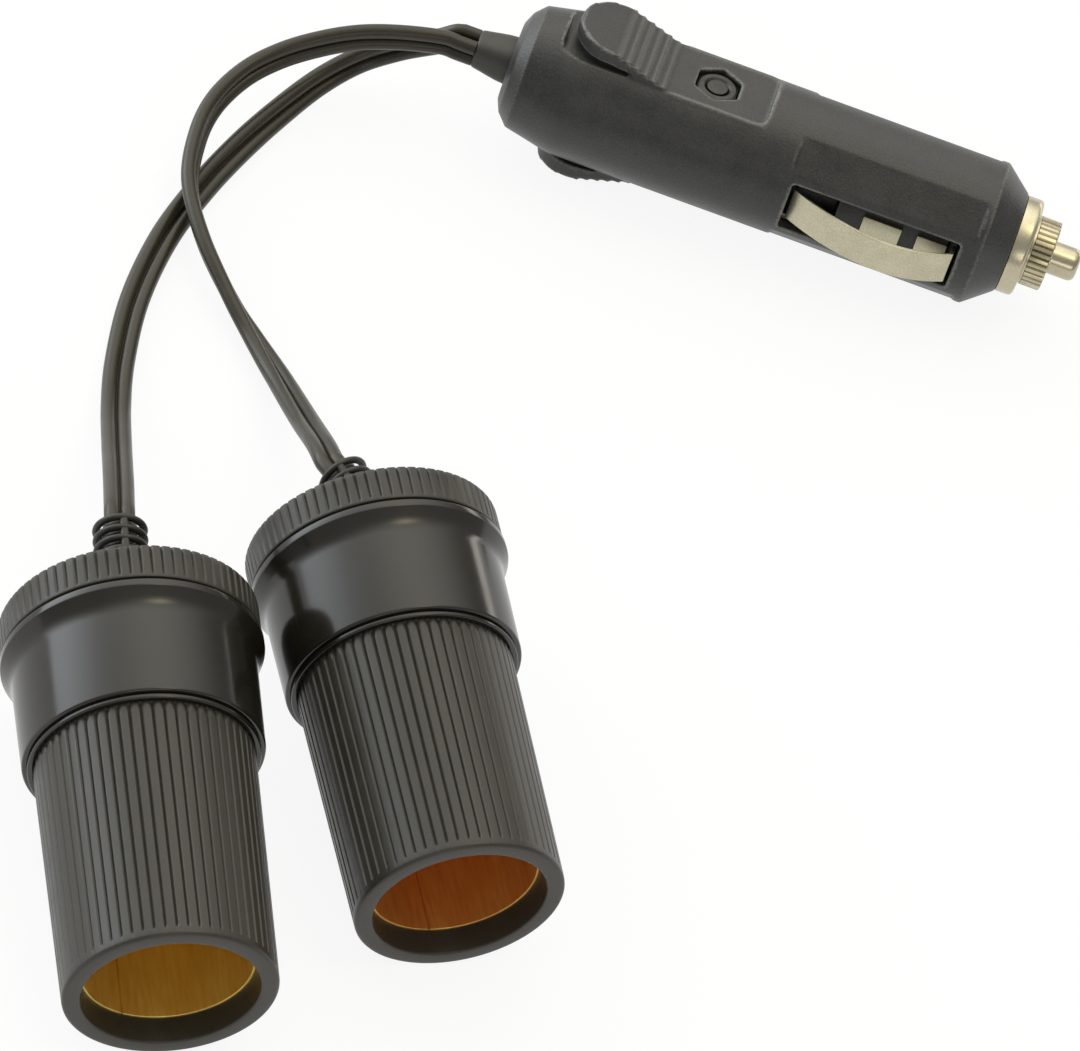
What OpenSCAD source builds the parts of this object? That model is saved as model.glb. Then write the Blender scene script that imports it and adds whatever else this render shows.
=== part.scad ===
// Car power socket splitter: one plug, two flat twin leads and two in-line sockets, laid out on a table.
// Millimetres. X runs along the plug to its tip, Z is up, the origin is at the middle of the footprint.

/* [Plug body] */
// Diameter of the plug body
plug_d = 20.8; // [20.2:0.1:21.6]
// Distance from the rear face to the front shoulder
plug_shoulder_x = 70.5; // [69:0.5:76]
// Length of the cone in front of the shoulder
plug_nose_l = 4; // [2.5:0.5:6]
// Diameter of the body where the nose ring sits
plug_nose_d = 14.3; // [13:0.1:16]
// Length of the rounded rear end
plug_rear_l = 8.5; // [6:0.5:10]
// Height of the flat above the axis
flat_h = 8.7; // [8.2:0.1:9.4]
// Rear end of the flat
flat_x0 = 6.2; // [5:0.1:8]
// Front end of the flat
flat_x1 = 36.6; // [34:0.2:40]
// Radius of the hollow that holds the wires
cavity_r = 6.9; // [6:0.1:7.2]
// Thickness of the rear wall
rear_wall = 3; // [2:0.5:4]

/* [Thumb grips] */
// Width of a thumb grip
grip_w = 11.2; // [9:0.2:12]
// Height of a grip's rear end above the axis
grip_h = 12.3; // [11.2:0.1:13]
// Rear end of the grip
grip_x0 = 7.3; // [6:0.1:9]
// Length of the grip's top in front of its slope
grip_top_l = 6; // [5:0.1:8]
// Height of the grip's top where its slope starts
grip_edge_h = 11.8; // [11:0.05:12.2]
// Place where the grip's slope meets the flat
grip_x1 = 21.8; // [21:0.2:25]
// Depth of the gap under the grip's rim
grip_gap = 1; // [0.5:0.1:1.4]
// Width of the overhanging rim
grip_rim = 1.3; // [0.8:0.1:2]
// Number of ribs across the grip
grip_ribs = 6; // [3:1:8]
// Radius of a rib
grip_rib_r = 0.55; // [0.3:0.05:0.6]

/* [Shell screw] */
// Place of the screw along the plug
screw_x = 28.4; // [27.5:0.1:30]
// Diameter of the screw
screw_d = 3; // [2.5:0.1:3.5]
// Diameter of the screw head
screw_head_d = 5.6; // [5:0.1:6]
// Height of the screw head
screw_head_h = 2; // [1.5:0.1:2.4]
// Width of the nut across its flats
nut_af = 5.8; // [5.5:0.1:6.4]
// Height of the nut
nut_h = 2.2; // [1.8:0.1:2.6]
// Radius of the boss around the screw
boss_r = 3.9; // [3.8:0.1:4.1]

/* [Nose] */
// Outer diameter of the nose ring
ring_d = 14.1; // [13:0.1:15]
// Visible length of the nose ring
ring_l = 2.5; // [1.8:0.1:3.5]
// Outer diameter of the knurled nut
knurl_d = 10.1; // [9.2:0.1:11]
// Length of the knurled nut
knurl_l = 2.95; // [2.4:0.05:4]
// Thickness of the washer behind the knurled nut
nut_washer_t = 0.35; // [0.2:0.05:0.6]
// Diameter of the tip pin
pin_d = 4.7; // [4:0.1:5.2]
// Length of the pin in front of the nut
pin_out = 4.1; // [3.5:0.1:5]
// Diameter of the thread between nut and ring
nose_thread_d = 8.8; // [8.4:0.1:9.4]

/* [Fuse] */
// Diameter of the fuse
fuse_d = 6.3; // [6:0.05:6.35]
// Length of the fuse
fuse_l = 30; // [29:0.5:31]
// Length of a fuse cap
fuse_cap_l = 6; // [5:0.5:7]
// Wall of the fuse glass
fuse_glass_t = 0.6; // [0.4:0.1:0.9]
// Wire of the tip spring
spring_wire = 0.6; // [0.5:0.05:0.8]
// Number of turns of the tip spring
spring_turns = 5; // [4:1:5]

/* [Side contacts] */
// Length of the slot for a side contact
slot_l = 24.8; // [24:0.2:26]
// Rear end of the slot
slot_x0 = 42.8; // [42:0.1:43.2]
// Width of the slot
slot_w = 8; // [7:0.2:8.6]
// Distance from the axis to the crest of the bow
bow_crest = 13; // [12:0.1:13.2]
// Width of the bow strip
bow_w = 5.2; // [4.6:0.1:5.4]
// Thickness of the bow strip
bow_t = 0.5; // [0.4:0.05:0.7]
// Thickness of the earth strap
strap_t = 0.5; // [0.4:0.05:0.6]
// Travel of a side contact
bow_travel = 2.6; // [1:0.1:2.7]

/* [Socket] */
// Outer diameter at the mouth
mouth_d = 27.4; // [26.6:0.1:28]
// Outer diameter of the ribbed sleeve where it meets the barrel
sleeve_top_d = 28.6; // [28:0.1:29.4]
// Visible length of the ribbed sleeve
sleeve_l = 34.7; // [32:0.1:38]
// Diameter of the barrel at its front end
barrel_d = 31.3; // [30.8:0.1:32]
// Diameter of the collar
collar_d = 34.2; // [33.6:0.1:35]
// Length of the barrel with its collar
barrel_l = 17; // [15.5:0.1:19]
// Diameter of the rear cap
cap_d = 33.8; // [33.2:0.1:35]
// Length of the rear cap's knurled band
cap_l = 5.2; // [4.6:0.1:7]
// Thickness of the washer under the cap
cap_washer_t = 0.4; // [0.3:0.05:0.8]
// Bore of the contact tube
tube_bore_d = 21.5; // [21.1:0.1:21.6]
// Wall of the contact tube
tube_t = 0.35; // [0.3:0.05:0.5]
// Distance from the mouth to the contact tube
tube_a0 = 3.5; // [1:0.1:4]
// Diameter of the mouth's lip
lip_d = 22.7; // [22.4:0.1:23.4]
// Distance from the mouth to the insulator
insulator_a0 = 37.9; // [36.5:0.1:38.2]

/* [Strain relief] */
// Diameter of the relief's rings
relief_d = 7.3; // [6.8:0.1:7.8]
// Diameter of the core between the rings
relief_core_d = 5.2; // [5:0.1:5.8]
// Straight length between the left cap and its relief's rings
left_relief_out = 5.2; // [4.6:0.1:6]
// Straight length between the right cap and its relief's rings
right_relief_out = 2.1; // [1.8:0.1:3]
// Length of the ringed part
relief_bent = 9.8; // [9:0.1:11]
// Number of rings
relief_rings = 6; // [3:1:7]
// Thickness of a ring
ring_t = 0.9; // [0.7:0.1:1.1]

/* [Leads] */
// Width of the flat twin lead
lead_w = 4.15; // [3.8:0.05:4.6]
// Thickness of the flat twin lead
lead_t = 2.3; // [2:0.1:2.5]
// Diameter of an inner wire
wire_d = 1.5; // [1.2:0.1:1.6]

/* [Layout] */
// Place of the plug's rear face
plug_at = [-24.58, 84.49, 12.88];
// Plug's nose down angle
plug_pitch = 1.96; // [1.5:0.01:2.5]
// Plug's roll away from the viewer
plug_roll = 6; // [0:0.5:8]
// Mouth of the left socket
left_mouth = [-22.2, -92.47];
// Direction of the left socket's mouth
left_yaw = -67.1; // [-75:0.1:-60]
// Bend of the left strain relief
left_bend = 4; // [1:1:10]
// Side towards which the left relief bends, from straight down
left_bend_way = 270; // [250:5:290]
// Mouth of the right socket
right_mouth = [8.15, -63.95];
// Direction of the right socket's mouth
right_yaw = -61.9; // [-66:0.1:-60]
// Bend of the right strain relief
right_bend = 22; // [10:1:26]
// Side towards which the right relief bends, from straight down
right_bend_way = 70; // [50:5:90]

/* [Hidden] */
$fn = 64;

// Overrun of every cut
over = 1;
// Radial clearance of a running fit
run = 0.05;
// Clearance around a fixed piece in its pocket
loose = 0.1;

// Inner sizes of the plug
nut_wall = 0.4;
pin_head_t = 1.4;
spring_room = 8.2;
terminal_t = 1;
terminal_rim = 0.8;
bulkhead_t = 1.4;
stem_t = 0.95;
stem_l = 4.3;
flange_t = 1.2;
flange_rim = 0.8;
tail_gap = 0.4;
nut_sink = 0.5;
head_sink = 0.3;
strap_depth = 3.3;
strap_back = 7;
strap_front = 1.6;
bow_end_gap = 0.5;
bow_rear_rise = 1.6;
bow_front_rise = 3.1;
rear_leg = 1.8;
front_leg = 2;
bore_wall = 0.45;
leg_room = 0.35;
tag_step = 2.3;
tag_l = 6.5;
tag_setback = 1.2;
facet_depth = 0.4;
facet_setback = 5.4;
facet_margin = 1;
facet_angle = 44;
core_y = 1.4;
core_z = 1.2;
boot_l = 5.2;
boot_r0 = 1.9;
boot_r1 = 1.15;
boot_inner_t = 1.5;
boot_inner_r = 5.2;
wire_step = 3;
cap_foil = 0.2;
cap_end = 0.3;

// Plug: values that follow from the driving ones
plug_r = plug_d / 2;
nose_x = plug_shoulder_x + plug_nose_l;
ring_front = nose_x + ring_l;
knurl_x = ring_front + nut_washer_t;
knurl_front = knurl_x + knurl_l;
tip_x = knurl_front + pin_out;
thread_r = nose_thread_d / 2;
pin_r = pin_d / 2;
fuse_r = fuse_d / 2;
bore_r = fuse_r + 3 * loose;
pin_head_r = fuse_r - 1.5 * loose;
nut_inside = knurl_x - nut_wall;
fuse_x1 = nut_inside - run - pin_head_t;
fuse_x0 = fuse_x1 - fuse_l;
terminal_x = fuse_x0 - spring_room - terminal_t;
terminal_r = bore_r + terminal_rim;
cavity_x1 = terminal_x - bulkhead_t;
stem_r = thread_r + run + stem_t;
stem_x = nose_x - stem_l;
flange_r = stem_r + flange_rim;
nut_tail = stem_x + tail_gap;
recess_floor = flat_h - nut_h - nut_sink;
head_floor = flat_h - screw_head_h - head_sink;
strap_y = plug_r - strap_depth;
strap_x0 = slot_x0 + strap_back;
strap_x1 = slot_x0 + slot_l - strap_front;
bow_x0 = slot_x0 + bow_end_gap;
bow_x1 = slot_x0 + slot_l - bow_end_gap;
bow_top_share = 0.61;
bow_rear_y = strap_y + bow_rear_rise;
bow_front_y = strap_y + bow_front_rise;
leg_pocket_y = bore_r + bore_wall;
front_pocket_y = bow_front_y - front_leg - bow_travel - leg_room;
tail_z0 = 2 * loose - slot_w / 2;
tail_z1 = -bow_w / 2 - 4 * loose;
tag_y = cavity_r - tag_step;
tag_x1 = cavity_x1 - tag_setback;
tag_x0 = tag_x1 - tag_l;
facet_h = plug_r - facet_depth;
facet_x0 = flat_x1 + facet_setback;
facet_x1 = plug_shoulder_x - facet_margin;
wire_r = wire_d / 2;

// Inner sizes of a socket
tuck = 0.6;
spigot_l = 5.4;
web_t = 3;
skirt_room = 2.4;
flare_l = 3.04;
collar_l = 1.2;
collar_edge_l = 0.96;
cap_wall = 1.2;
cap_step = 1.25;
disc_t = 2.5;
chamber_wall = 1.7;
gland_t = 1.7;
stud_r = 1.6;
stud_head_r = 2.8;
stud_head_t = 1.6;
tube_floor_gap = 2.2;
bead_l = 2.4;
bead_rise = 0.5;
tag_t = 0.5;
tag_r = 3.4;
rivet_r = 2.4;
rivet_t = 0.7;
earth_tag_step = 2.4;
earth_tag_w = 3;
earth_tag_l = 8;
wire_gap = 2;

// Shares of the room between the contact tube and the outside of the barrel
skirt_inside_share = 9 / 45.5;
spigot_share = 19 / 45.5;
skirt_share = 24 / 45.5;
tuck_share = 31 / 45.5;

// Socket: places along its axis from the mouth, radii from its axis
mouth_r = mouth_d / 2;
sleeve_top_r = sleeve_top_d / 2;
barrel_r = barrel_d / 2;
cap_r = cap_d / 2;
collar_r = collar_d / 2;
tube_r = tube_bore_d / 2 + tube_t;
bead_a = insulator_a0 - bead_l;
bead_r = tube_bore_d / 2 - bead_rise;
wall_room = min(barrel_r, cap_r - cap_step) - tube_r;
spigot_r = tube_r + wall_room * spigot_share;
spigot_a1 = sleeve_l + spigot_l;
skirt_r = tube_r + wall_room * skirt_share;
skirt_inside_r = tube_r + wall_room * skirt_inside_share;
skirt_a0 = spigot_a1 + web_t + skirt_room;
tuck_r = tube_r + wall_room * tuck_share;
barrel_a1 = sleeve_l + barrel_l;
cap_a0 = barrel_a1 + cap_washer_t;
cap_a1 = cap_a0 + cap_l;
cap_in = cap_a1 - cap_wall;
disc_a1 = insulator_a0 + disc_t;
chamber_r = tube_r - chamber_wall;
earth_tag_x = chamber_r - earth_tag_step;
gland_a1 = cap_in - 2 * loose;
gland_a0 = gland_a1 - gland_t;
relief_r = relief_d / 2;
hub_r = relief_r - loose;
left_relief = [left_relief_out, left_bend, left_bend_way];
right_relief = [right_relief_out, right_bend, right_bend_way];
mouth_edge = (mouth_d - lip_d) * 0.1;
collar_rim = collar_r - barrel_r;
collar_front = barrel_a1 - collar_edge_l;
tilt = atan((collar_r - mouth_r) / (collar_front - mouth_edge));
mouth_z = mouth_r * cos(tilt) - mouth_edge * sin(tilt);

// Route of the lead to the left socket: place and turn about its own length, 90 on edge and 0 flat
left_route = [
    [-34.91, 85.73, 10.9, 90], [-40.14, 84.73, 8, 85], [-44.98, 82.74, 5.2, 75],
    [-49.22, 78.07, 3.3, 60], [-52.89, 70.85, 2.3, 45], [-56.21, 62.29, 1.8, 25],
    [-59.11, 52.45, 1.4, 10], [-61.16, 41.28, 1.3, 5], [-61.56, 28.91, 1.3, 0], [-60.16, 17.19, 1.7, 0],
    [-58.08, 7.28, 3.8, 0], [-55.4, -3.98, 8.8, 0], [-52.83, -14.74, 14.4, 0]
];
// Route of the lead to the right socket, which passes over the other one
right_route = [
    [-34.67, 83.01, 13.4, 90], [-40.27, 81.66, 13, 88], [-45.56, 80.14, 12, 85],
    [-50.55, 78.01, 10.4, 80], [-55.26, 74.94, 8.7, 76], [-59.03, 70.54, 7.3, 72],
    [-61.45, 64.49, 6.1, 70], [-61.81, 57.7, 5.4, 70], [-60.26, 49.2, 5.1, 70], [-55.69, 40.89, 4.3, 70],
    [-49.14, 33.3, 2.8, 60], [-44.15, 28.2, 2.2, 40], [-38.8, 21, 4, 15], [-33.32, 10.55, 9.4, 0],
    [-29.64, 2.13, 15, 0]
];

// Moves a point of the plug to its place on the table
function plug_point(p) =
    let(
        y1 = p[1] * cos(plug_roll) + p[2] * sin(plug_roll),
        z1 = -p[1] * sin(plug_roll) + p[2] * cos(plug_roll)
    )
    [
        plug_at[0] + p[0] * cos(plug_pitch) + z1 * sin(plug_pitch),
        plug_at[1] + y1,
        plug_at[2] - p[0] * sin(plug_pitch) + z1 * cos(plug_pitch)
    ];

// Moves a point of a socket to its place on the table
function socket_point(mouth, yaw, p) =
    let(
        out = p[0] * sin(tilt) - p[2] * cos(tilt),
        up = p[0] * cos(tilt) + p[2] * sin(tilt)
    )
    [
        mouth[0] + out * cos(yaw) - p[1] * sin(yaw),
        mouth[1] + out * sin(yaw) + p[1] * cos(yaw),
        mouth_z + up
    ];

// Step aside and place along the socket, at a share of a relief's ringed part, plus a step straight on
function relief_bend(relief, share, on = 0) =
    let(bend_r = relief_bent / (relief[1] * PI / 180), turn = relief[1] * share)
    [
        bend_r * (1 - cos(turn)) + on * sin(turn),
        cap_a1 + relief[0] + bend_r * sin(turn) + on * cos(turn)
    ];

// The same place as a point of the socket
function relief_point(relief, share, on = 0) =
    let(bent = relief_bend(relief, share, on))
    [-bent[0] * cos(relief[2]), -bent[0] * sin(relief[2]), bent[1]];

function unit(v) = v / norm(v);

// Point and turn on the smooth line through the rows of a route
function spline(a, b, c, d, t) =
    0.5 * (
        (2 * b) + (c - a) * t + (2 * a - 5 * b + 4 * c - d) * t * t + (3 * b - a - 3 * c + d) * t * t * t
    );

// Rows of a route with more steps between them; the first and the last stretch stay straight
function refined(rows, steps) = concat(
    [rows[0]],
    [
        for (i = [1:len(rows) - 3]) for (s = [0:steps - 1])
            spline(rows[i - 1], rows[i], rows[i + 1], rows[i + 2], s / steps)
    ],
    [rows[len(rows) - 2], rows[len(rows) - 1]]
);

function place(row) = [row[0], row[1], row[2]];

// Direction of a route at one row
function heading(rows, i) =
    let(last = len(rows) - 1)
    unit(place(rows[min(i + 1, last)]) - place(rows[max(i - 1, 0)]));

// Ring of points around one row of a route, as an ellipse turned by the row's own angle
function ring_points(rows, i, wide, thick, sides, up) =
    let(
        ahead = heading(rows, i),
        side = unit(cross(ahead, up)),
        over_it = cross(side, ahead),
        turn = rows[i][3],
        along_wide = side * cos(turn) + over_it * sin(turn),
        along_thick = over_it * cos(turn) - side * sin(turn)
    )
    [
        for (k = [0:sides - 1])
            let(a = 360 * (k + 0.5) / sides)
            place(rows[i]) + along_wide * cos(a) * wide / 2 + along_thick * sin(a) * thick / 2
    ];

// Closed tube along a route
module swept(rows, wide, thick, sides, up = [0, 0, 1]) {
    count = len(rows);
    points = [for (i = [0:count - 1]) each ring_points(rows, i, wide, thick, sides, up)];
    walls = [
        for (i = [0:count - 2]) for (k = [0:sides - 1])
            let(k2 = (k + 1) % sides, a = i * sides, b = (i + 1) * sides)
            each [[a + k, b + k, b + k2], [a + k, b + k2, a + k2]]
    ];
    start = [for (k = [1:sides - 2]) [0, k, k + 1]];
    end_at = (count - 1) * sides;
    end = [for (k = [1:sides - 2]) [end_at, end_at + k + 1, end_at + k]];
    polyhedron(points = points, faces = concat(walls, start, end), convexity = 6);
}

module place_plug() {
    translate(plug_at) rotate([-plug_roll, plug_pitch, 0]) children();
}

module place_left() {
    translate([left_mouth[0], left_mouth[1], mouth_z]) rotate([0, tilt - 90, left_yaw]) children();
}

module place_right() {
    translate([right_mouth[0], right_mouth[1], mouth_z]) rotate([0, tilt - 90, right_yaw]) children();
}

// Turned shape about the plug's axis, from points of place and radius
module turned(points) {
    rotate([0, 90, 0]) rotate_extrude() polygon([for (p = points) [p[1], p[0]]]);
}

// Turned shape about a socket's axis, from points of place and radius
module turned_up(points) {
    rotate_extrude() polygon([for (p = points) [p[1], p[0]]]);
}

// Straight bar along the plug between two places
module bar_x(x0, x1, r) {
    translate([x0, 0, 0]) rotate([0, 90, 0]) cylinder(h = x1 - x0, r = r);
}

// Box from its two corners
module block(low, high) {
    translate(low) cube(high - low);
}

// Grip profile seen from the side, cut to the grip's outline seen from above
module grip() {
    half_w = grip_w / 2;
    length = grip_x1 - grip_x0;
    slope_x = grip_x0 + grip_top_l;
    slope_h = grip_edge_h - flat_h;
    slope_l = grip_x1 - slope_x;
    difference() {
        intersection() {
            translate([0, half_w, 0]) rotate([90, 0, 0]) linear_extrude(grip_w)
                polygon([
                    [grip_x0, flat_h - over], [grip_x0, grip_h - grip_rib_r], [grip_x0 + grip_rib_r, grip_h],
                    [slope_x, grip_edge_h], [grip_x1, flat_h], [grip_x1, flat_h - over]
                ]);
            linear_extrude(grip_h + over) {
                translate([grip_x0 + half_w, 0]) circle(half_w);
                translate([grip_x0 + half_w, -half_w]) square([length - half_w, grip_w]);
            }
        }
        difference() {
            translate([0, grip_w, 0]) rotate([90, 0, 0]) linear_extrude(2 * grip_w)
                polygon([
                    [grip_x0 - over, flat_h], [grip_x0 - over, flat_h + grip_gap],
                    [slope_x, flat_h + grip_gap], [grip_x1 - grip_rim, flat_h]
                ]);
            linear_extrude(grip_h) {
                translate([grip_x0 + half_w, 0]) circle(half_w - grip_rim);
                translate([grip_x0 + half_w, grip_rim - half_w]) square([length, grip_w - 2 * grip_rim]);
            }
        }
    }
    for (i = [1:grip_ribs]) {
        share = (i - 0.5) / grip_ribs;
        translate([slope_x + slope_l * share, half_w - loose, grip_edge_h - slope_h * share - grip_rib_r / 2])
            rotate([90, 0, 0]) cylinder(h = grip_w - 2 * loose, r = grip_rib_r);
    }
}

// Round body of the plug with its flats and facets, before it is split and hollowed
module body_form() {
    difference() {
        turned([
            [0, 0], [0, plug_r * 0.54], [plug_rear_l * 0.09, plug_r * 0.71],
            [plug_rear_l * 0.27, plug_r * 0.865], [plug_rear_l, plug_r * 0.99],
            [plug_rear_l + grip_gap, plug_r], [plug_shoulder_x, plug_r],
            [nose_x, plug_nose_d / 2], [nose_x, 0]
        ]);
        for (side = [0, 1]) mirror([0, 0, side]) {
            block([flat_x0, -plug_d, flat_h], [flat_x1, plug_d, plug_d]);
            for (turn = [-facet_angle, facet_angle]) rotate([turn, 0, 0])
                block([facet_x0, -plug_d, facet_h], [facet_x1, plug_d, plug_d]);
        }
    }
}

// Hollows that both shells share
module body_hollows() {
    difference() {
        bar_x(rear_wall, cavity_x1, cavity_r);
        translate([screw_x, 0, -plug_d]) cylinder(h = 2 * plug_d, r = boss_r);
    }
    bar_x(cavity_x1 - over, nose_x, bore_r);
    bar_x(terminal_x, terminal_x + terminal_t, terminal_r);
    bar_x(stem_x, nose_x + over, stem_r);
    bar_x(stem_x, stem_x + flange_t, flange_r);
    translate([screw_x, 0, -plug_d]) cylinder(h = 2 * plug_d, r = screw_d / 2 + loose);
    boot_cores(-over, rear_wall + over, boot_r0, boot_r0);
    for (side = [0, 1]) mirror([0, side, 0]) {
        block([strap_x0 - loose, strap_y, -slot_w / 2], [strap_x1 + loose, plug_d, slot_w / 2]);
        block([slot_x0, leg_pocket_y, -slot_w / 2], [strap_x0, plug_d, slot_w / 2]);
        block([strap_x1, front_pocket_y, -slot_w / 2], [slot_x0 + slot_l, plug_d, slot_w / 2]);
        block(
            [tag_x1 - loose, strap_y - loose, tail_z0 - loose],
            [slot_x0 + over, strap_y + strap_t + loose, tail_z1 + loose]
        );
        block(
            [tag_x1 - loose, tag_y - loose, tail_z0 - loose],
            [tag_x1 + strap_t + loose, strap_y + strap_t + loose, tail_z1 + loose]
        );
    }
}

module upper_shell() {
    color([0.27, 0.27, 0.25]) place_plug() difference() {
        union() {
            intersection() {
                body_form();
                block([-over, -plug_d, 0], [tip_x, plug_d, plug_d]);
            }
            grip();
        }
        body_hollows();
        translate([screw_x, 0, recess_floor]) rotate([0, 0, 30])
            cylinder(h = plug_r, r = (nut_af + 4 * loose) / sqrt(3), $fn = 6);
    }
}

module lower_shell() {
    color([0.27, 0.27, 0.25]) place_plug() difference() {
        union() {
            intersection() {
                body_form();
                block([-over, -plug_d, -plug_d], [tip_x, plug_d, 0]);
            }
            mirror([0, 0, 1]) grip();
        }
        body_hollows();
        translate([screw_x, 0, -flat_h - over])
            cylinder(h = flat_h + over - head_floor, r = screw_head_d / 2 + 2 * loose);
    }
}

module shell_screw() {
    slot_r = screw_d * 0.16;
    low = -head_floor - screw_head_h;
    middle = low + screw_head_h / 2;
    color([0.7, 0.69, 0.64]) place_plug() translate([screw_x, 0, 0]) difference() {
        union() {
            translate([0, 0, low]) cylinder(h = screw_head_h, r = screw_head_d / 2);
            translate([0, 0, middle]) cylinder(h = recess_floor + nut_h - middle, r = screw_d / 2);
        }
        for (turn = [0, 90]) rotate([0, 0, turn])
            block([-screw_d / 2, -slot_r, low - over], [screw_d / 2, slot_r, middle]);
    }
}

module shell_nut() {
    color([0.7, 0.69, 0.64]) place_plug() translate([screw_x, 0, recess_floor]) difference() {
        rotate([0, 0, 30]) cylinder(h = nut_h, r = nut_af / sqrt(3), $fn = 6);
        translate([0, 0, -over]) cylinder(h = nut_h + 2 * over, r = screw_d / 2);
    }
}

module nose_ring() {
    edge = ring_l * 0.24;
    bore = thread_r + run;
    color([0.8, 0.78, 0.68]) place_plug() turned([
        [stem_x, bore], [stem_x, flange_r], [stem_x + flange_t, flange_r], [stem_x + flange_t, stem_r],
        [nose_x, stem_r], [nose_x, ring_d / 2], [ring_front - edge, ring_d / 2],
        [ring_front, ring_d / 2 - edge], [ring_front, bore]
    ]);
}

module nut_washer() {
    color([0.75, 0.73, 0.64]) place_plug() turned([
        [ring_front, thread_r + run], [ring_front, knurl_d / 2 - run],
        [knurl_x, knurl_d / 2 - run], [knurl_x, thread_r + run]
    ]);
}

module nose_nut() {
    edge = knurl_l * 0.12;
    color([0.8, 0.78, 0.68]) place_plug() turned([
        [nut_tail, bore_r], [nut_tail, thread_r], [knurl_x, thread_r], [knurl_x, knurl_d / 2],
        [knurl_front - edge, knurl_d / 2], [knurl_front, knurl_d / 2 - edge], [knurl_front, pin_r + run],
        [nut_inside, pin_r + run], [nut_inside, bore_r]
    ]);
}

module tip_pin() {
    edge = pin_r * 0.34;
    color([0.8, 0.78, 0.68]) place_plug() turned([
        [fuse_x1, 0], [fuse_x1, pin_head_r], [fuse_x1 + pin_head_t, pin_head_r],
        [fuse_x1 + pin_head_t, pin_r], [tip_x - edge, pin_r], [tip_x - edge * 0.3, pin_r - edge * 0.5],
        [tip_x, pin_r - 1.7 * edge], [tip_x, 0]
    ]);
}

module fuse_glass() {
    r = fuse_r - cap_foil;
    color([0.85, 0.9, 0.9, 0.5]) place_plug() turned([
        [fuse_x0 + cap_end, r - fuse_glass_t], [fuse_x0 + cap_end, r], [fuse_x1 - cap_end, r],
        [fuse_x1 - cap_end, r - fuse_glass_t]
    ]);
}

module fuse_caps() {
    r = fuse_r - cap_foil;
    color([0.8, 0.8, 0.76]) place_plug() {
        turned([
            [fuse_x0, 0], [fuse_x0, fuse_r], [fuse_x0 + fuse_cap_l, fuse_r], [fuse_x0 + fuse_cap_l, r],
            [fuse_x0 + cap_end, r], [fuse_x0 + cap_end, 0]
        ]);
        turned([
            [fuse_x1, 0], [fuse_x1, fuse_r], [fuse_x1 - fuse_cap_l, fuse_r], [fuse_x1 - fuse_cap_l, r],
            [fuse_x1 - cap_end, r], [fuse_x1 - cap_end, 0]
        ]);
    }
}

module fuse_element() {
    color([0.75, 0.75, 0.72]) place_plug() bar_x(fuse_x0 + cap_end, fuse_x1 - cap_end, cap_foil);
}

// Coil spring between the live terminal and the fuse, wound along the plug's axis
module tip_spring() {
    coil_r = fuse_r - spring_wire;
    start_x = terminal_x + terminal_t + spring_wire / 2 + loose;
    rise = spring_room - spring_wire - 2 * loose;
    steps = 8 * spring_turns;
    sides = 6;
    points = [
        for (i = [0:steps]) for (k = [0:sides - 1])
            let(turn = 45 * i, a = 360 * k / sides, r = coil_r + spring_wire / 2 * cos(a))
            [start_x + rise * i / steps + spring_wire / 2 * sin(a), r * cos(turn), r * sin(turn)]
    ];
    walls = [
        for (i = [0:steps - 1]) for (k = [0:sides - 1])
            let(k2 = (k + 1) % sides, a = i * sides, b = (i + 1) * sides)
            each [[a + k, b + k2, b + k], [a + k, a + k2, b + k2]]
    ];
    start = [for (k = [1:sides - 2]) [0, k + 1, k]];
    end_at = steps * sides;
    end = [for (k = [1:sides - 2]) [end_at, end_at + k, end_at + k + 1]];
    color([0.72, 0.72, 0.68]) place_plug()
        polyhedron(points = points, faces = concat(walls, start, end), convexity = 8);
}
echo(least_gap_of_the_spring = (spring_room - spring_wire - 2 * loose) / spring_turns - spring_wire);

module live_terminal() {
    color([0.78, 0.62, 0.3]) place_plug() bar_x(terminal_x, terminal_x + terminal_t, terminal_r);
}

// Distance of the bow from the axis at a place along the plug
function bow_y(x) =
    let(
        top_x = bow_x0 + (bow_x1 - bow_x0) * bow_top_share,
        rear = (top_x - x) / (top_x - bow_x0),
        front = (x - top_x) / (bow_x1 - top_x)
    )
    x < top_x
        ? bow_crest - (bow_crest - bow_rear_y) * rear * rear
        : bow_crest - (bow_crest - bow_front_y) * front * front;

module side_contact() {
    steps = 24;
    inner_x0 = bow_x0 + bow_t;
    inner_x1 = bow_x1 - bow_t;
    outer = [for (i = [0:steps]) let(x = bow_x0 + (bow_x1 - bow_x0) * i / steps) [x, bow_y(x)]];
    inner = [
        for (i = [0:steps]) let(x = inner_x1 - (inner_x1 - inner_x0) * i / steps) [x, bow_y(x) - bow_t]
    ];
    translate([0, 0, -bow_w / 2]) linear_extrude(bow_w) polygon(concat(
        [[bow_x0, bow_rear_y - rear_leg]], outer,
        [[bow_x1, bow_front_y - front_leg], [inner_x1, bow_front_y - front_leg]], inner,
        [[inner_x0, bow_rear_y - rear_leg]]
    ));
}

module left_side_contact() {
    color([0.74, 0.71, 0.58]) place_plug() side_contact();
}

module right_side_contact() {
    color([0.74, 0.71, 0.58]) place_plug() mirror([0, 1, 0]) side_contact();
}

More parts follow.
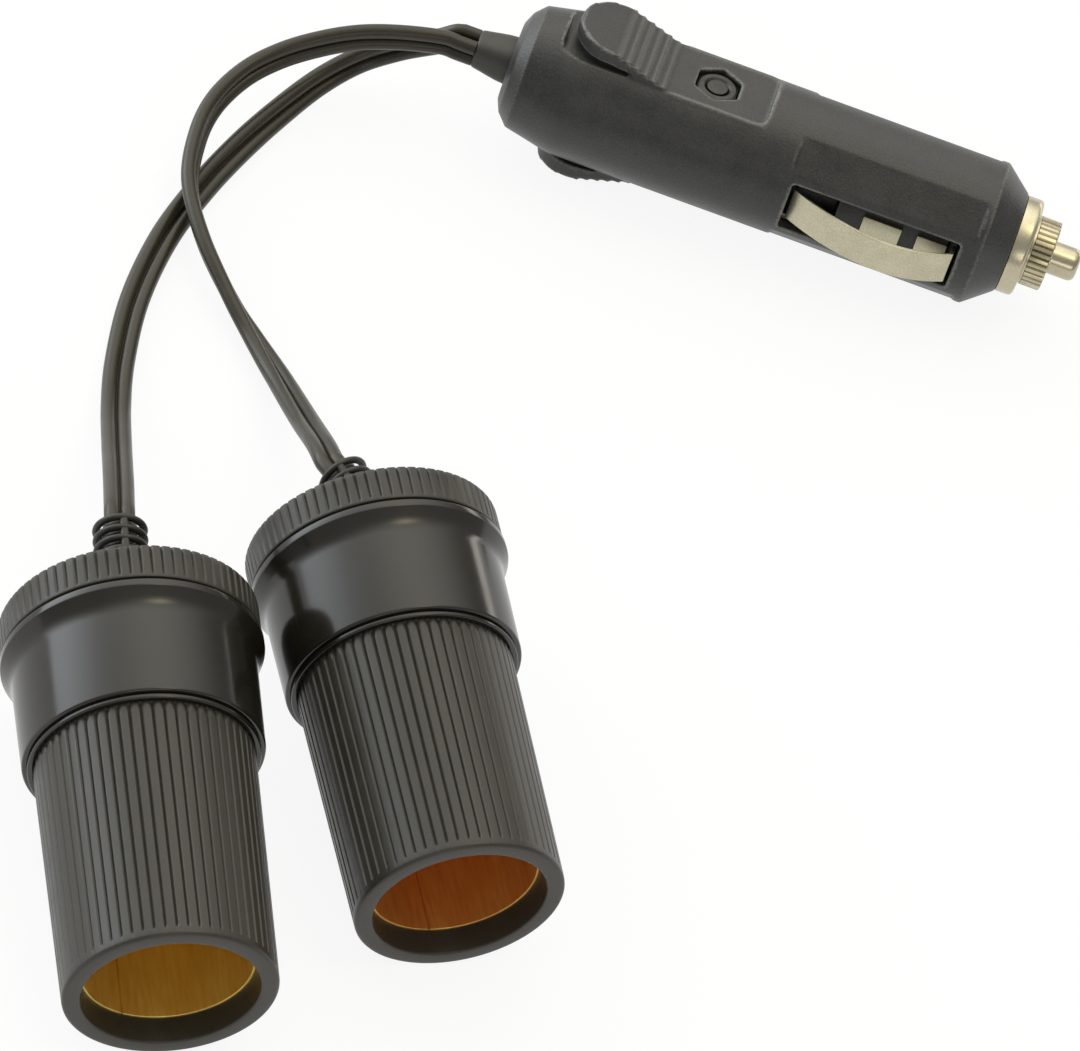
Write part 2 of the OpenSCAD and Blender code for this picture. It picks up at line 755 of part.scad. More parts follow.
// Earth strap behind a side contact: a low rail with two upright tabs, and a tail to its solder tag
module earth_strap() {
    length = strap_x1 - strap_x0;
    top = slot_w * 0.18;
    block([tag_x1, strap_y, tail_z0], [strap_x1, strap_y + strap_t, tail_z1]);
    block([strap_x0 + length * 0.24, strap_y, tail_z0], [strap_x0 + length * 0.59, strap_y + strap_t, top]);
    block([strap_x0 + length * 0.73, strap_y, tail_z0], [strap_x1, strap_y + strap_t, top]);
    block([tag_x1, tag_y, tail_z0], [tag_x1 + strap_t, strap_y + strap_t, tail_z1]);
    block([tag_x0, tag_y, tail_z0], [tag_x1 + strap_t, tag_y + strap_t, tail_z1]);
}

module left_earth_strap() {
    color([0.74, 0.71, 0.58]) place_plug() earth_strap();
}

module right_earth_strap() {
    color([0.74, 0.71, 0.58]) place_plug() mirror([0, 1, 0]) earth_strap();
}

// Wires inside the plug, one of each pair from each lead
module plug_live_wires() {
    x0 = rear_wall + boot_inner_t;
    around = boss_r + wire_d * 0.7;
    color([0.6, 0.1, 0.08]) place_plug() for (side = [-1, 1])
        swept(refined([
            [x0, side * core_y, core_z, 0], [x0 + wire_step, side * core_y, core_z, 0],
            [screw_x - 2 * wire_step, side * around, 2 * core_z, 0],
            [screw_x + wire_d, side * around, 2 * core_z, 0],
            [terminal_x - wire_step, side * core_z, core_z, 0], [terminal_x, side * core_z, core_z, 0]
        ], 3), wire_d, wire_d, 6);
}

module plug_earth_wires() {
    x0 = rear_wall + boot_inner_t;
    foot_y = tag_y + strap_t / 2;
    foot_z = tail_z1 - strap_t / 2;
    color([0.08, 0.08, 0.08]) place_plug() for (side = [-1, 1])
        swept(refined([
            [x0, side * core_y, -core_z, 0], [x0 + wire_step, side * core_y, -core_z, 0],
            [tag_x0 - 2 * wire_step, side * foot_y, foot_z, 0],
            [tag_x0 - wire_step, side * foot_y, foot_z, 0], [tag_x0, side * foot_y, foot_z, 0]
        ], 3), wire_d, wire_d, 6);
}

// Four cores of the boot side by side, and the web between them
module boot_cores(x0, x1, r0, r1) {
    for (y = [-core_y, core_y]) for (z = [-core_z, core_z])
        translate([x0, y, z]) rotate([0, 90, 0]) cylinder(h = x1 - x0, r1 = r0, r2 = r1);
    block([x0, -core_y - r1 / 2, -core_z], [x1, core_y + r1 / 2, core_z]);
}

module plug_boot() {
    color([0.25, 0.25, 0.22]) place_plug() {
        rotate([0, 0, 180]) boot_cores(0, boot_l, boot_r0, boot_r1);
        boot_cores(-boot_r1, rear_wall + boot_r1 / 2, boot_r0, boot_r0);
        bar_x(rear_wall, rear_wall + boot_inner_t, boot_inner_r);
    }
}

module ribbed_sleeve() {
    color([0.3, 0.29, 0.27]) turned_up([
        [0, lip_d / 2], [0, mouth_r - mouth_edge], [mouth_edge, mouth_r], [sleeve_l, sleeve_top_r],
        [sleeve_l, tuck_r], [sleeve_l + tuck, tuck_r], [sleeve_l + tuck, spigot_r], [spigot_a1, spigot_r],
        [spigot_a1, tube_r], [tube_a0, tube_r]
    ]);
}

module barrel() {
    color([0.3, 0.28, 0.26]) turned_up([
        [sleeve_l, tuck_r + loose], [sleeve_l, barrel_r],
        [barrel_a1 - flare_l, barrel_r + collar_rim * 0.15],
        [barrel_a1 - collar_l, collar_r - collar_rim * 0.1], [collar_front, collar_r],
        [barrel_a1, collar_r],
        [barrel_a1, skirt_r + run], [spigot_a1 + web_t, skirt_r + run], [spigot_a1 + web_t, tube_r],
        [spigot_a1, tube_r], [spigot_a1, spigot_r], [sleeve_l + tuck, spigot_r],
        [sleeve_l + tuck, tuck_r + loose]
    ]);
}

module cap_washer() {
    color([0.12, 0.12, 0.11]) turned_up([
        [barrel_a1, skirt_r + run], [barrel_a1, cap_r - cap_washer_t],
        [cap_a0, cap_r - cap_washer_t], [cap_a0, skirt_r + run]
    ]);
}

module rear_cap() {
    edge = cap_l * 0.11;
    color([0.3, 0.29, 0.27]) turned_up([
        [cap_in, relief_r + 2 * loose], [cap_in, skirt_inside_r], [skirt_a0, skirt_inside_r],
        [skirt_a0, skirt_r], [cap_a0, skirt_r], [cap_a0, cap_r], [cap_a1 - edge, cap_r],
        [cap_a1, cap_r - edge], [cap_a1, relief_r + 2 * loose]
    ]);
}

module contact_tube() {
    floor_r = stud_head_r + tube_floor_gap;
    color([0.72, 0.45, 0.2]) turned_up([
        [tube_a0, tube_r - tube_t], [tube_a0, tube_r], [insulator_a0, tube_r], [insulator_a0, floor_r],
        [insulator_a0 - tube_t, floor_r], [insulator_a0 - tube_t, bead_r], [bead_a, bead_r],
        [bead_a, tube_r - tube_t]
    ]);
}

module insulator() {
    color([0.78, 0.75, 0.66]) difference() {
        turned_up([
            [insulator_a0, stud_r], [insulator_a0, tube_r], [gland_a0, tube_r], [gland_a0, chamber_r],
            [disc_a1, chamber_r], [disc_a1, stud_r]
        ]);
        block(
            [earth_tag_x - loose, -earth_tag_w / 2 - loose, insulator_a0 - over],
            [earth_tag_x + tag_t + loose, earth_tag_w / 2 + loose, disc_a1 + over]
        );
    }
}

module centre_contact() {
    edge = stud_head_t * 0.4;
    color([0.8, 0.66, 0.34]) turned_up([
        [insulator_a0 - stud_head_t, 0], [insulator_a0 - stud_head_t, stud_head_r - edge],
        [insulator_a0 - stud_head_t + edge, stud_head_r], [insulator_a0, stud_head_r], [insulator_a0, stud_r],
        [disc_a1 + tag_t, stud_r], [disc_a1 + tag_t, rivet_r], [disc_a1 + tag_t + rivet_t, rivet_r * 0.8],
        [disc_a1 + tag_t + rivet_t, 0]
    ]);
}

module live_tag() {
    tail = tag_r * 0.75;
    color([0.8, 0.66, 0.34]) difference() {
        union() {
            translate([0, 0, disc_a1]) cylinder(h = tag_t, r = tag_r);
            block([-chamber_r + tag_t, -tail / 2, disc_a1], [0, tail / 2, disc_a1 + tag_t]);
        }
        translate([0, 0, disc_a1 - over]) cylinder(h = tag_t + 2 * over, r = stud_r);
    }
}

module earth_tag() {
    color([0.8, 0.66, 0.34]) block(
        [earth_tag_x, -earth_tag_w / 2, insulator_a0],
        [earth_tag_x + tag_t, earth_tag_w / 2, insulator_a0 + earth_tag_l]
    );
}

module live_wire() {
    foot = -(tag_r + chamber_r) / 2 + wire_r;
    a0 = disc_a1 + tag_t;
    color([0.6, 0.1, 0.08]) swept(refined([
        [foot, 0, a0, 0], [foot, 0, a0 + wire_gap, 0], [-wire_gap * 1.6, 0, (a0 + gland_a0) / 2, 0],
        [-wire_gap, 0, gland_a0 - wire_gap, 0], [-wire_gap, 0, gland_a0, 0]
    ], 3), wire_d, wire_d, 6, [0, 1, 0]);
}

module earth_wire() {
    foot = earth_tag_x + tag_t / 2;
    a0 = insulator_a0 + earth_tag_l;
    color([0.08, 0.08, 0.08]) swept(refined([
        [foot, 0, a0, 0], [foot, 0, a0 + wire_gap, 0], [wire_gap, 0, gland_a0 - wire_gap, 0],
        [wire_gap, 0, gland_a0, 0]
    ], 3), wire_d, wire_d, 6, [0, 1, 0]);
}

// Flexible relief: flange inside the cap, straight hub, then a slightly bent core with rings and a web
module strain_relief(relief) {
    bend_r = relief_bent / (relief[1] * PI / 180);
    bend_a = cap_a1 + relief[0];
    color([0.27, 0.26, 0.23]) rotate([0, 0, relief[2]]) {
        translate([0, 0, gland_a0]) cylinder(h = gland_t, r = tube_r - loose);
        translate([0, 0, gland_a0]) cylinder(h = bend_a - gland_a0, r = hub_r);
        translate([-bend_r, 0, bend_a]) rotate([90, 0, 0]) {
            rotate_extrude(angle = relief[1]) translate([bend_r, 0]) circle(relief_core_d / 2);
            rotate_extrude(angle = relief[1])
                translate([bend_r - ring_t / 2, ring_t / 4 - relief_r])
                    square([ring_t, relief_d - ring_t / 2]);
        }
        for (i = [1:relief_rings]) {
            share = (i - 0.5) / relief_rings;
            bent = relief_bend(relief, share);
            translate([-bent[0], 0, bent[1]]) rotate([0, -relief[1] * share, 0])
                translate([0, 0, -ring_t / 2]) cylinder(h = ring_t, r = relief_r);
        }
    }
}

module left_ribbed_sleeve() {
    place_left() ribbed_sleeve();
}

module left_barrel() {
    place_left() barrel();
}

module left_cap_washer() {
    place_left() cap_washer();
}

module left_rear_cap() {
    place_left() rear_cap();
}

module left_contact_tube() {
    place_left() contact_tube();
}

module left_insulator() {
    place_left() insulator();
}

module left_centre_contact() {
    place_left() centre_contact();
}

module left_live_tag() {
    place_left() live_tag();
}

module left_earth_tag() {
    place_left() earth_tag();
}

module left_live_wire() {
    place_left() live_wire();
}

module left_earth_wire() {
    place_left() earth_wire();
}

module left_strain_relief() {
    place_left() strain_relief(left_relief);
}

module right_ribbed_sleeve() {
    place_right() ribbed_sleeve();
}

module right_barrel() {
    place_right() barrel();
}

module right_cap_washer() {
    place_right() cap_washer();
}

module right_rear_cap() {
    place_right() rear_cap();
}

module right_contact_tube() {
    place_right() contact_tube();
}

module right_insulator() {
    place_right() insulator();
}

module right_centre_contact() {
    place_right() centre_contact();
}

module right_live_tag() {
    place_right() live_tag();
}

module right_earth_tag() {
    place_right() earth_tag();
}

module right_live_wire() {
    place_right() live_wire();
}

module right_earth_wire() {
    place_right() earth_wire();
}

module right_strain_relief() {
    place_right() strain_relief(right_relief);
}

// Row of a route from a point and a turn
function row(p, turn) = [p[0], p[1], p[2], turn];

// Whole route of a lead: straight out of the boot, along its own points, straight into the relief
function lead_rows(y, points, mouth, yaw, relief) = concat(
    [row(plug_point([-boot_l, y, 0]), 90), row(plug_point([-boot_l - lead_t, y, 0]), 90)],
    points,
    [
        row(socket_point(mouth, yaw, relief_point(relief, 1, lead_t)), 0),
        row(socket_point(mouth, yaw, relief_point(relief, 1)), 0)
    ]
);

module left_lead() {
    rows = lead_rows(core_y, left_route, left_mouth, left_yaw, left_relief);
    color([0.29, 0.28, 0.23]) swept(refined(rows, 3), lead_w, lead_t, 8);
}

module right_lead() {
    rows = lead_rows(-core_y, right_route, right_mouth, right_yaw, right_relief);
    color([0.29, 0.28, 0.23]) swept(refined(rows, 2), lead_w, lead_t, 8);
}

upper_shell();
lower_shell();
shell_screw();
shell_nut();
nose_ring();
nut_washer();
nose_nut();
tip_pin();
fuse_glass();
fuse_caps();
fuse_element();
tip_spring();
live_terminal();
left_side_contact();
right_side_contact();
left_earth_strap();
right_earth_strap();
plug_live_wires();
plug_earth_wires();
plug_boot();
left_ribbed_sleeve();
left_barrel();
left_cap_washer();
left_rear_cap();
left_contact_tube();
left_insulator();
left_centre_contact();
left_live_tag();
left_earth_tag();
left_live_wire();
left_earth_wire();
left_strain_relief();
right_ribbed_sleeve();
right_barrel();
right_cap_washer();
right_rear_cap();
right_contact_tube();
right_insulator();
right_centre_contact();
right_live_tag();
right_earth_tag();
right_live_wire();
right_earth_wire();
right_strain_relief();
left_lead();
right_lead();
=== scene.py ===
from math import atan, atan2, cos, pi, radians, remainder, sin, sqrt, tan, tau

import bmesh
import bpy
import numpy as np
from mathutils import Matrix, Vector


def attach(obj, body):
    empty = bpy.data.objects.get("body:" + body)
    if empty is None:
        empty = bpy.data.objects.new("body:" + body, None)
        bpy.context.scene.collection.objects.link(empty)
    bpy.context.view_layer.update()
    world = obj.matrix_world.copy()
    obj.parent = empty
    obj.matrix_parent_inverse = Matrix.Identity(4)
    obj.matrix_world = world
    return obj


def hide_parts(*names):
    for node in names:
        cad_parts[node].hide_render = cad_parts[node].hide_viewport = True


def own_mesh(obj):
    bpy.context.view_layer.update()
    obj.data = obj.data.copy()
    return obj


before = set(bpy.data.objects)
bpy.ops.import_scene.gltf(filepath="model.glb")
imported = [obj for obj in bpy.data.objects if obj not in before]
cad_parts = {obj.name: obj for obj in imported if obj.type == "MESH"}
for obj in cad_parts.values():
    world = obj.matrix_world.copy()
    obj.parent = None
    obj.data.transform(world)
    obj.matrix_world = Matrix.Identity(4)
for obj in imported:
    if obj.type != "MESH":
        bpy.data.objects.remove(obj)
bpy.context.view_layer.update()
MM = 0.001

# Places, as in the part's source (millimetres and degrees)

PLUG_AT = (-24.58, 84.49, 12.88)
PLUG_PITCH = 1.96
PLUG_ROLL = 6
LEFT_MOUTH = (-22.2, -92.47)
LEFT_YAW = -67.1
RIGHT_MOUTH = (8.15, -63.95)
RIGHT_YAW = -61.9

MOUTH_R = 13.7
LIP_R = 11.35
COLLAR_R = 17.1
BARREL_R = 15.65
SLEEVE_L = 34.7
SLEEVE_TOP_R = 14.3
BARREL_END = SLEEVE_L + 17
MOUTH_EDGE = 0.47
COLLAR_RIM = COLLAR_R - BARREL_R
COLLAR_FRONT = BARREL_END - 0.96
TILT = atan((COLLAR_R - MOUTH_R) / (COLLAR_FRONT - MOUTH_EDGE))
MOUTH_Z = MOUTH_R * cos(TILT) - MOUTH_EDGE * sin(TILT)
CAP_START = BARREL_END + 0.4
CAP_END = CAP_START + 5.2
CAP_R = 16.9
TUBE_R = 11.1
TUBE_START = 3.5
TUBE_WALL = 0.35
INSULATOR = 37.9
BEAD_L = 2.4
BEAD_R = 10.25
FLOOR_R = 5.0
SPIGOT_R = 13.0
SPIGOT_END = SLEEVE_L + 5.4
SKIRT_R = 13.5
# Play of the threads and running fits, and the gap that keeps two skins apart
PLAY = 0.05
SKIN_GAP = 0.01
GLAND_START = CAP_END - 3.1

# Strain reliefs: straight length behind the cap, bend and the side that it bends to
RELIEF_R = 3.65
RELIEF_L = 9.8
RINGS = 6
LEFT_RELIEF = (5.2, 4, 270)
RIGHT_RELIEF = (2.1, 22, 70)

# Leads, and the boot that they come out of
LEAD_W = 4.15
LEAD_T = 2.3
BOOT_L = 5.2
CORE_Y = 1.4
CORE_Z = 1.2

# Places along each lead and its turn about its own run, where 0 is flat and 90 is on edge
LEFT_ROUTE = [
    (-34.91, 85.73, 10.9, 90), (-40.14, 84.73, 8, 85), (-44.98, 82.74, 5.2, 75), (-49.22, 78.07, 3.3, 60),
    (-52.89, 70.85, 2.3, 45), (-56.21, 62.29, 1.8, 25), (-59.11, 52.45, 1.4, 10), (-61.16, 41.28, 1.3, 5),
    (-61.56, 28.91, 1.3, 0), (-60.16, 17.19, 1.7, 0), (-58.08, 7.28, 3.8, 0), (-55.4, -3.98, 8.8, 0),
    (-52.83, -14.74, 14.4, 0),
]
RIGHT_ROUTE = [
    (-34.67, 83.01, 13.4, 90), (-40.27, 81.66, 13, 88), (-45.56, 80.14, 12, 85), (-50.55, 78.01, 10.4, 80),
    (-55.26, 74.94, 8.7, 76), (-59.03, 70.54, 7.3, 72), (-61.45, 64.49, 6.1, 70), (-61.81, 57.7, 5.4, 70),
    (-60.26, 49.2, 5.1, 70), (-55.69, 40.89, 4.3, 70), (-49.14, 33.3, 2.8, 60), (-44.15, 28.2, 2.2, 40),
    (-38.8, 21, 4, 15), (-33.32, 10.55, 9.4, 0), (-29.64, 2.13, 15, 0),
]

SCALE = Matrix.Diagonal((MM, MM, MM, 1))


def turn(degrees, axis):
    """Rotation about X, Y or Z."""
    return Matrix.Rotation(radians(degrees), 4, axis)


PLUG = SCALE @ Matrix.Translation(PLUG_AT) @ turn(PLUG_PITCH, "Y") @ turn(-PLUG_ROLL, "X")


def socket_matrix(mouth, yaw):
    """Place of a socket whose own Z runs from its mouth to its cap, leaning on its collar and its mouth."""
    lean = Matrix.Rotation(TILT - pi / 2, 4, "Y")
    return SCALE @ Matrix.Translation((*mouth, MOUTH_Z)) @ turn(yaw, "Z") @ lean


SOCKETS = {
    "left": (socket_matrix(LEFT_MOUTH, LEFT_YAW), LEFT_RELIEF),
    "right": (socket_matrix(RIGHT_MOUTH, RIGHT_YAW), RIGHT_RELIEF),
}

# Camera

ELEVATION = radians(47.74)
CAMERA_TURN = radians(1.89)
CAMERA_ROLL = radians(17.27)
DISTANCE = 1.063
TARGET = Vector((0.0009, 0.01465, 0))
FOCAL_SHARE = 7866 / 1080
SENSOR = 36

ahead = Matrix.Rotation(CAMERA_TURN, 3, "Z") @ Vector((0, cos(ELEVATION), -sin(ELEVATION)))
level = Matrix.Rotation(CAMERA_TURN, 3, "Z") @ Vector((1, 0, 0))
above = level.cross(ahead)
right = level * cos(CAMERA_ROLL) + above * sin(CAMERA_ROLL)
upward = above * cos(CAMERA_ROLL) - level * sin(CAMERA_ROLL)
camera = bpy.data.objects.new("camera", bpy.data.cameras.new("camera"))
bpy.context.scene.collection.objects.link(camera)
camera_axes = Matrix((right, upward, -ahead)).transposed().to_4x4()
camera.matrix_world = Matrix.Translation(TARGET - ahead * DISTANCE) @ camera_axes
camera.data.sensor_fit = "HORIZONTAL"
camera.data.sensor_width = SENSOR
camera.data.lens = FOCAL_SHARE * SENSOR
camera.data.clip_start = 0.05
camera.data.clip_end = 20
bpy.context.scene.camera = camera
bpy.context.scene.view_settings.view_transform = "Standard"

# Node trees written as expressions


def add(tree, kind, inputs=(), out=0, **settings):
    """New node of a tree with its settings and inputs; gives back one of its outputs."""
    node = tree.nodes.new(kind)
    stops = settings.pop("stops", None)
    for key, value in settings.items():
        setattr(node, key, value)
    if stops:
        ramp = node.color_ramp.elements
        while len(ramp) < len(stops):
            ramp.new(0.5)
        for element, (place, colour) in zip(ramp, stops):
            element.position = place
            element.color = (*colour, 1)
    pairs = inputs.items() if isinstance(inputs, dict) else enumerate(inputs)
    for key, value in pairs:
        if value is None:
            continue
        if isinstance(value, Wire):
            tree.links.new(value.socket, node.inputs[key])
        else:
            node.inputs[key].default_value = value
    return Wire(tree, node.outputs[out])


class Wire:
    """Output of a node that takes part in plain sums."""

    def __init__(self, tree, socket):
        self.tree = tree
        self.socket = socket

    def math(self, operation, *others, clamp=False):
        """Math node that takes this output first."""
        return add(self.tree, "ShaderNodeMath", [self, *others], operation=operation, use_clamp=clamp)

    def reflected(self, operation, other):
        """Math node that takes this output second."""
        return add(self.tree, "ShaderNodeMath", [other, self], operation=operation)

    def __add__(self, other):
        return self.math("ADD", other)

    __radd__ = __add__

    def __sub__(self, other):
        return self.math("SUBTRACT", other)

    def __rsub__(self, other):
        return self.reflected("SUBTRACT", other)

    def __mul__(self, other):
        return self.math("MULTIPLY", other)

    __rmul__ = __mul__

    def __truediv__(self, other):
        return self.math("DIVIDE", other)

    def clamped(self):
        """This output, kept between 0 and 1."""
        return self.math("ADD", 0.0, clamp=True)


# Materials

# Outputs of a Texture Coordinate node
OWN_MAP = 2
OBJECT_PLACES = 3

FINE_SHARE = 1.6
COARSE_SHARE = 1.2
COARSE_DETAIL = 4.0
BUMP_COARSE = 0.3
WEAR_AND_HIGHLIGHT_GRAIN = 1.4
WEAR_AND_HIGHLIGHT_LEAST = 0.1


def noise(tree, where, size, detail=2.0, stretch=None):
    """Noise whose lumps are about that many millimetres across."""
    if stretch:
        where = add(tree, "ShaderNodeMapping", {"Vector": where, "Scale": stretch})
    return add(tree, "ShaderNodeTexNoise", {"Vector": where, "Scale": 1 / (size * MM), "Detail": detail})


def blend_colours(tree, share, first, second):
    """Mix of two colours, each given as a link or as three numbers."""
    first, second = [tone if isinstance(tone, Wire) else (*tone, 1) for tone in (first, second)]
    return add(tree, "ShaderNodeMix", {0: share, 6: first, 7: second}, out=2, data_type="RGBA")


def finish(
    name, colours, roughness, grain=0.3, bump=0.0, mottle=4.0, spread=0.1, metallic=0.0, stretch=None,
    source=OBJECT_PLACES, wear_and_highlight_colour=None, **more
):
    """Material with two colours mixed by a coarse and a fine noise, uneven gloss and a fine bump.

    The grain, the mottle and the depth of the bump are in millimetres. The noises read object
    coordinates, or the piece's own UV map. A third colour lies on edges, as the piece's own
    attribute says: partly real wear and partly a painted highlight on the crests.
    """
    made = bpy.data.materials.new(name)
    made.use_nodes = True
    tree = made.node_tree
    tree.nodes.clear()
    where = add(tree, "ShaderNodeTexCoord", out=source)
    fine = noise(tree, where, grain, stretch=stretch)
    coarse = noise(tree, where, mottle, detail=COARSE_DETAIL, stretch=stretch)
    share = ((fine - 0.5) * FINE_SHARE + (coarse - 0.5) * COARSE_SHARE + 0.5).clamped()
    paint = blend_colours(tree, share, *colours)
    if wear_and_highlight_colour:
        edge = add(tree, "ShaderNodeAttribute", out=2, attribute_name="wear_and_highlight")
        wear_and_highlight_share = (edge * (fine * WEAR_AND_HIGHLIGHT_GRAIN + WEAR_AND_HIGHLIGHT_LEAST)).clamped()
        paint = blend_colours(tree, wear_and_highlight_share, paint, wear_and_highlight_colour)
    inputs = {
        "Base Color": paint,
        "Roughness": ((coarse - 0.5) * 2 * spread + roughness).clamped(),
        "Metallic": metallic,
    }
    if bump:
        relief = {"Height": fine + coarse * BUMP_COARSE, "Strength": 1.0, "Distance": bump * MM}
        inputs["Normal"] = add(tree, "ShaderNodeBump", relief)
    inputs.update(more)
    shader = add(tree, "ShaderNodeBsdfPrincipled", inputs)
    add_output(tree, shader)
    return made


def add_output(tree, shader):
    """Ends a material's tree."""
    output = tree.nodes.new("ShaderNodeOutputMaterial")
    tree.links.new(shader.socket, output.inputs["Surface"])


# The plug's third colour, light on convex edges, is partly wear and partly a painted highlight on the
# crests.
plug_plastic = finish(
    "plug_plastic", ((0.008, 0.0081, 0.0076), (0.031, 0.0313, 0.0287)), 0.4, grain=0.3, bump=0.045,
    wear_and_highlight_colour=(0.17, 0.17, 0.155), **{"Specular IOR Level": 0.55},
)
barrel_plastic = finish(
    "barrel_plastic", ((0.0095, 0.0085, 0.0055), (0.013, 0.0115, 0.0075)), 0.17, grain=0.4, bump=0.003,
    spread=0.05,
)
ribbed_plastic = finish(
    "ribbed_plastic", ((0.024, 0.0222, 0.0165), (0.035, 0.0325, 0.0245)), 0.38, grain=0.3, bump=0.012,
    **{"Specular IOR Level": 0.4},
)
relief_pvc = finish(
    "relief_pvc", ((0.02, 0.019, 0.0145), (0.028, 0.027, 0.02)), 0.4, grain=0.3, bump=0.008,
    **{"Specular IOR Level": 0.4},
)
boot_pvc = finish(
    "boot_pvc", ((0.03, 0.0295, 0.024), (0.042, 0.041, 0.034)), 0.42, grain=0.3, bump=0.008,
    **{"Specular IOR Level": 0.4},
)
lead_pvc = finish(
    "lead_pvc", ((0.0205, 0.0178, 0.009), (0.029, 0.0253, 0.0138)), 0.32, grain=0.5, bump=0.006,
    **{"Specular IOR Level": 0.4},
)
nickel = finish(
    "nickel", ((0.4, 0.36, 0.25), (0.56, 0.52, 0.38)), 0.26, grain=0.15, bump=0.006, spread=0.08,
    metallic=1.0,
)
spring_nickel = finish(
    "spring_nickel", ((0.4, 0.37, 0.255), (0.6, 0.57, 0.42)), 0.34, grain=0.2, bump=0.008, metallic=1.0,
)
# The two tubes are one bronze: the left copy carries painted light, the right copy painted shade.
left_tube_bronze_painted_light = finish(
    "left_tube_bronze_painted_light", ((0.86, 0.58, 0.13), (0.98, 0.78, 0.24)), 0.42, grain=0.6, bump=0.01, mottle=3.0,
    metallic=0.9, stretch=(1, 0.12, 1), source=OWN_MAP,
)
right_tube_bronze_painted_shade = finish(
    "right_tube_bronze_painted_shade", ((0.78, 0.4, 0.1), (0.95, 0.56, 0.17)), 0.42, grain=0.6, bump=0.01, mottle=3.0,
    metallic=0.9, stretch=(1, 0.12, 1), source=OWN_MAP,
)
steel = finish("steel", ((0.42, 0.42, 0.4), (0.62, 0.61, 0.58)), 0.34, grain=0.2, bump=0.008, metallic=1.0)
# Steel painted nearly black: painted shade of the recess in the shell where the nut and screw sit.
steel_painted_recess_shade = finish(
    "steel_painted_recess_shade", ((0.05, 0.05, 0.047), (0.1, 0.1, 0.095)), 0.45, grain=0.2, bump=0.01, metallic=1.0,
)
brass = finish("brass", ((0.62, 0.42, 0.14), (0.78, 0.58, 0.24)), 0.3, grain=0.3, bump=0.006, metallic=1.0)
phenolic = finish("phenolic", ((0.13, 0.08, 0.04), (0.24, 0.16, 0.09)), 0.5, grain=0.5, bump=0.02)
fibre = finish("fibre", ((0.008, 0.008, 0.008), (0.016, 0.016, 0.015)), 0.7, grain=0.3, bump=0.02)
red_pvc = finish("red_pvc", ((0.3, 0.015, 0.012), (0.42, 0.03, 0.02)), 0.4, grain=0.4, bump=0.006)
black_pvc = finish("black_pvc", ((0.01, 0.01, 0.01), (0.02, 0.02, 0.02)), 0.4, grain=0.4, bump=0.006)
fuse_glass = finish(
    "fuse_glass", ((0.85, 0.92, 0.92), (0.92, 0.96, 0.96)), 0.05, grain=0.8, bump=0.002, spread=0.02,
    **{"Transmission Weight": 1.0},
)

# Meshes

# Corners take up at most this share of an edge when they are rounded
CORNER_SHARE = 0.48
# Extra rows go on the outside only, beyond this share of the largest radius
OUTER_SHARE = 0.8
SAME_POINT = 1e-5
NO_LENGTH = 1e-6


def dress(mesh, paint, smooth):
    """One material, and edges that are sharp past an angle."""
    mesh.materials.clear()
    mesh.materials.append(paint)
    mesh.shade_smooth()
    mesh.set_sharp_from_angle(angle=radians(smooth))


def new_object(name, mesh, paint, smooth=35):
    """Dressed object at the origin."""
    made = bpy.data.objects.new(name, mesh)
    bpy.context.scene.collection.objects.link(made)
    dress(mesh, paint, smooth)
    return made


def cleaned(name, vertices, faces):
    """Mesh with merged doubles and faces that point outwards."""
    mesh = bpy.data.meshes.new(name)
    mesh.from_pydata(vertices, [], faces)
    work = bmesh.new()
    work.from_mesh(mesh)
    bmesh.ops.remove_doubles(work, verts=work.verts, dist=SAME_POINT)
    bmesh.ops.dissolve_degenerate(work, edges=work.edges, dist=NO_LENGTH)
    bmesh.ops.recalc_face_normals(work, faces=work.faces)
    work.to_mesh(mesh)
    work.free()
    return mesh


def rounded(points, steps=4):
    """Closed outline of places and radii, with each corner that has a third number rounded by it."""
    outline = []
    for i, point in enumerate(points):
        here = Vector(point[:2])
        if len(point) < 3:
            outline.append(here)
            continue
        back = Vector(points[i - 1][:2]) - here
        on = Vector(points[(i + 1) % len(points)][:2]) - here
        cut = min(point[2], CORNER_SHARE * back.length, CORNER_SHARE * on.length)
        first = here + back.normalized() * cut
        last = here + on.normalized() * cut
        for k in range(steps + 1):
            t = k / steps
            outline.append((1 - t) ** 2 * first + 2 * t * (1 - t) * here + t * t * last)
    return outline


def lathe(name, points, segments, extra_rows=()):
    """Turned shape about Z from places along it and radii; rows may be added along one long straight run."""
    outline = rounded(points)
    for at in extra_rows:
        for i, (p, q) in enumerate(zip(outline, outline[1:])):
            low, high = min(p.x, q.x), max(p.x, q.x)
            if low < at < high and min(p.y, q.y) > OUTER_SHARE * max(v.y for v in outline):
                share = (at - p.x) / (q.x - p.x)
                outline.insert(i + 1, p + (q - p) * share)
                break
    rows = len(outline)
    vertices = []
    faces = []
    for s in range(segments):
        angle = tau * s / segments
        vertices += [(p.y * cos(angle), p.y * sin(angle), p.x) for p in outline]
        nxt = (s + 1) % segments
        for i in range(rows):
            j = (i + 1) % rows
            if outline[i].y < NO_LENGTH and outline[j].y < NO_LENGTH:
                continue
            faces.append((s * rows + i, s * rows + j, nxt * rows + j, nxt * rows + i))
    return cleaned(name, vertices, faces)


def loft(name, rings):
    """Closed skin over rings of points."""
    sides = len(rings[0])
    vertices = [tuple(p) for ring in rings for p in ring]
    faces = []
    for i in range(len(rings) - 1):
        for k in range(sides):
            n = (k + 1) % sides
            faces.append((i * sides + k, i * sides + n, (i + 1) * sides + n, (i + 1) * sides + k))
    faces.append(tuple(range(sides)))
    faces.append(tuple((len(rings) - 1) * sides + k for k in range(sides)))
    return cleaned(name, vertices, faces)


def settle(made, matrix, body, node):
    """Moves a mesh to its place, hangs it on what carries it and hides the CAD piece that it stands for."""
    made.data.transform(matrix)
    made.data.update()
    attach(made, body)
    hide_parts(node)


# Ribs and rings by geometry nodes


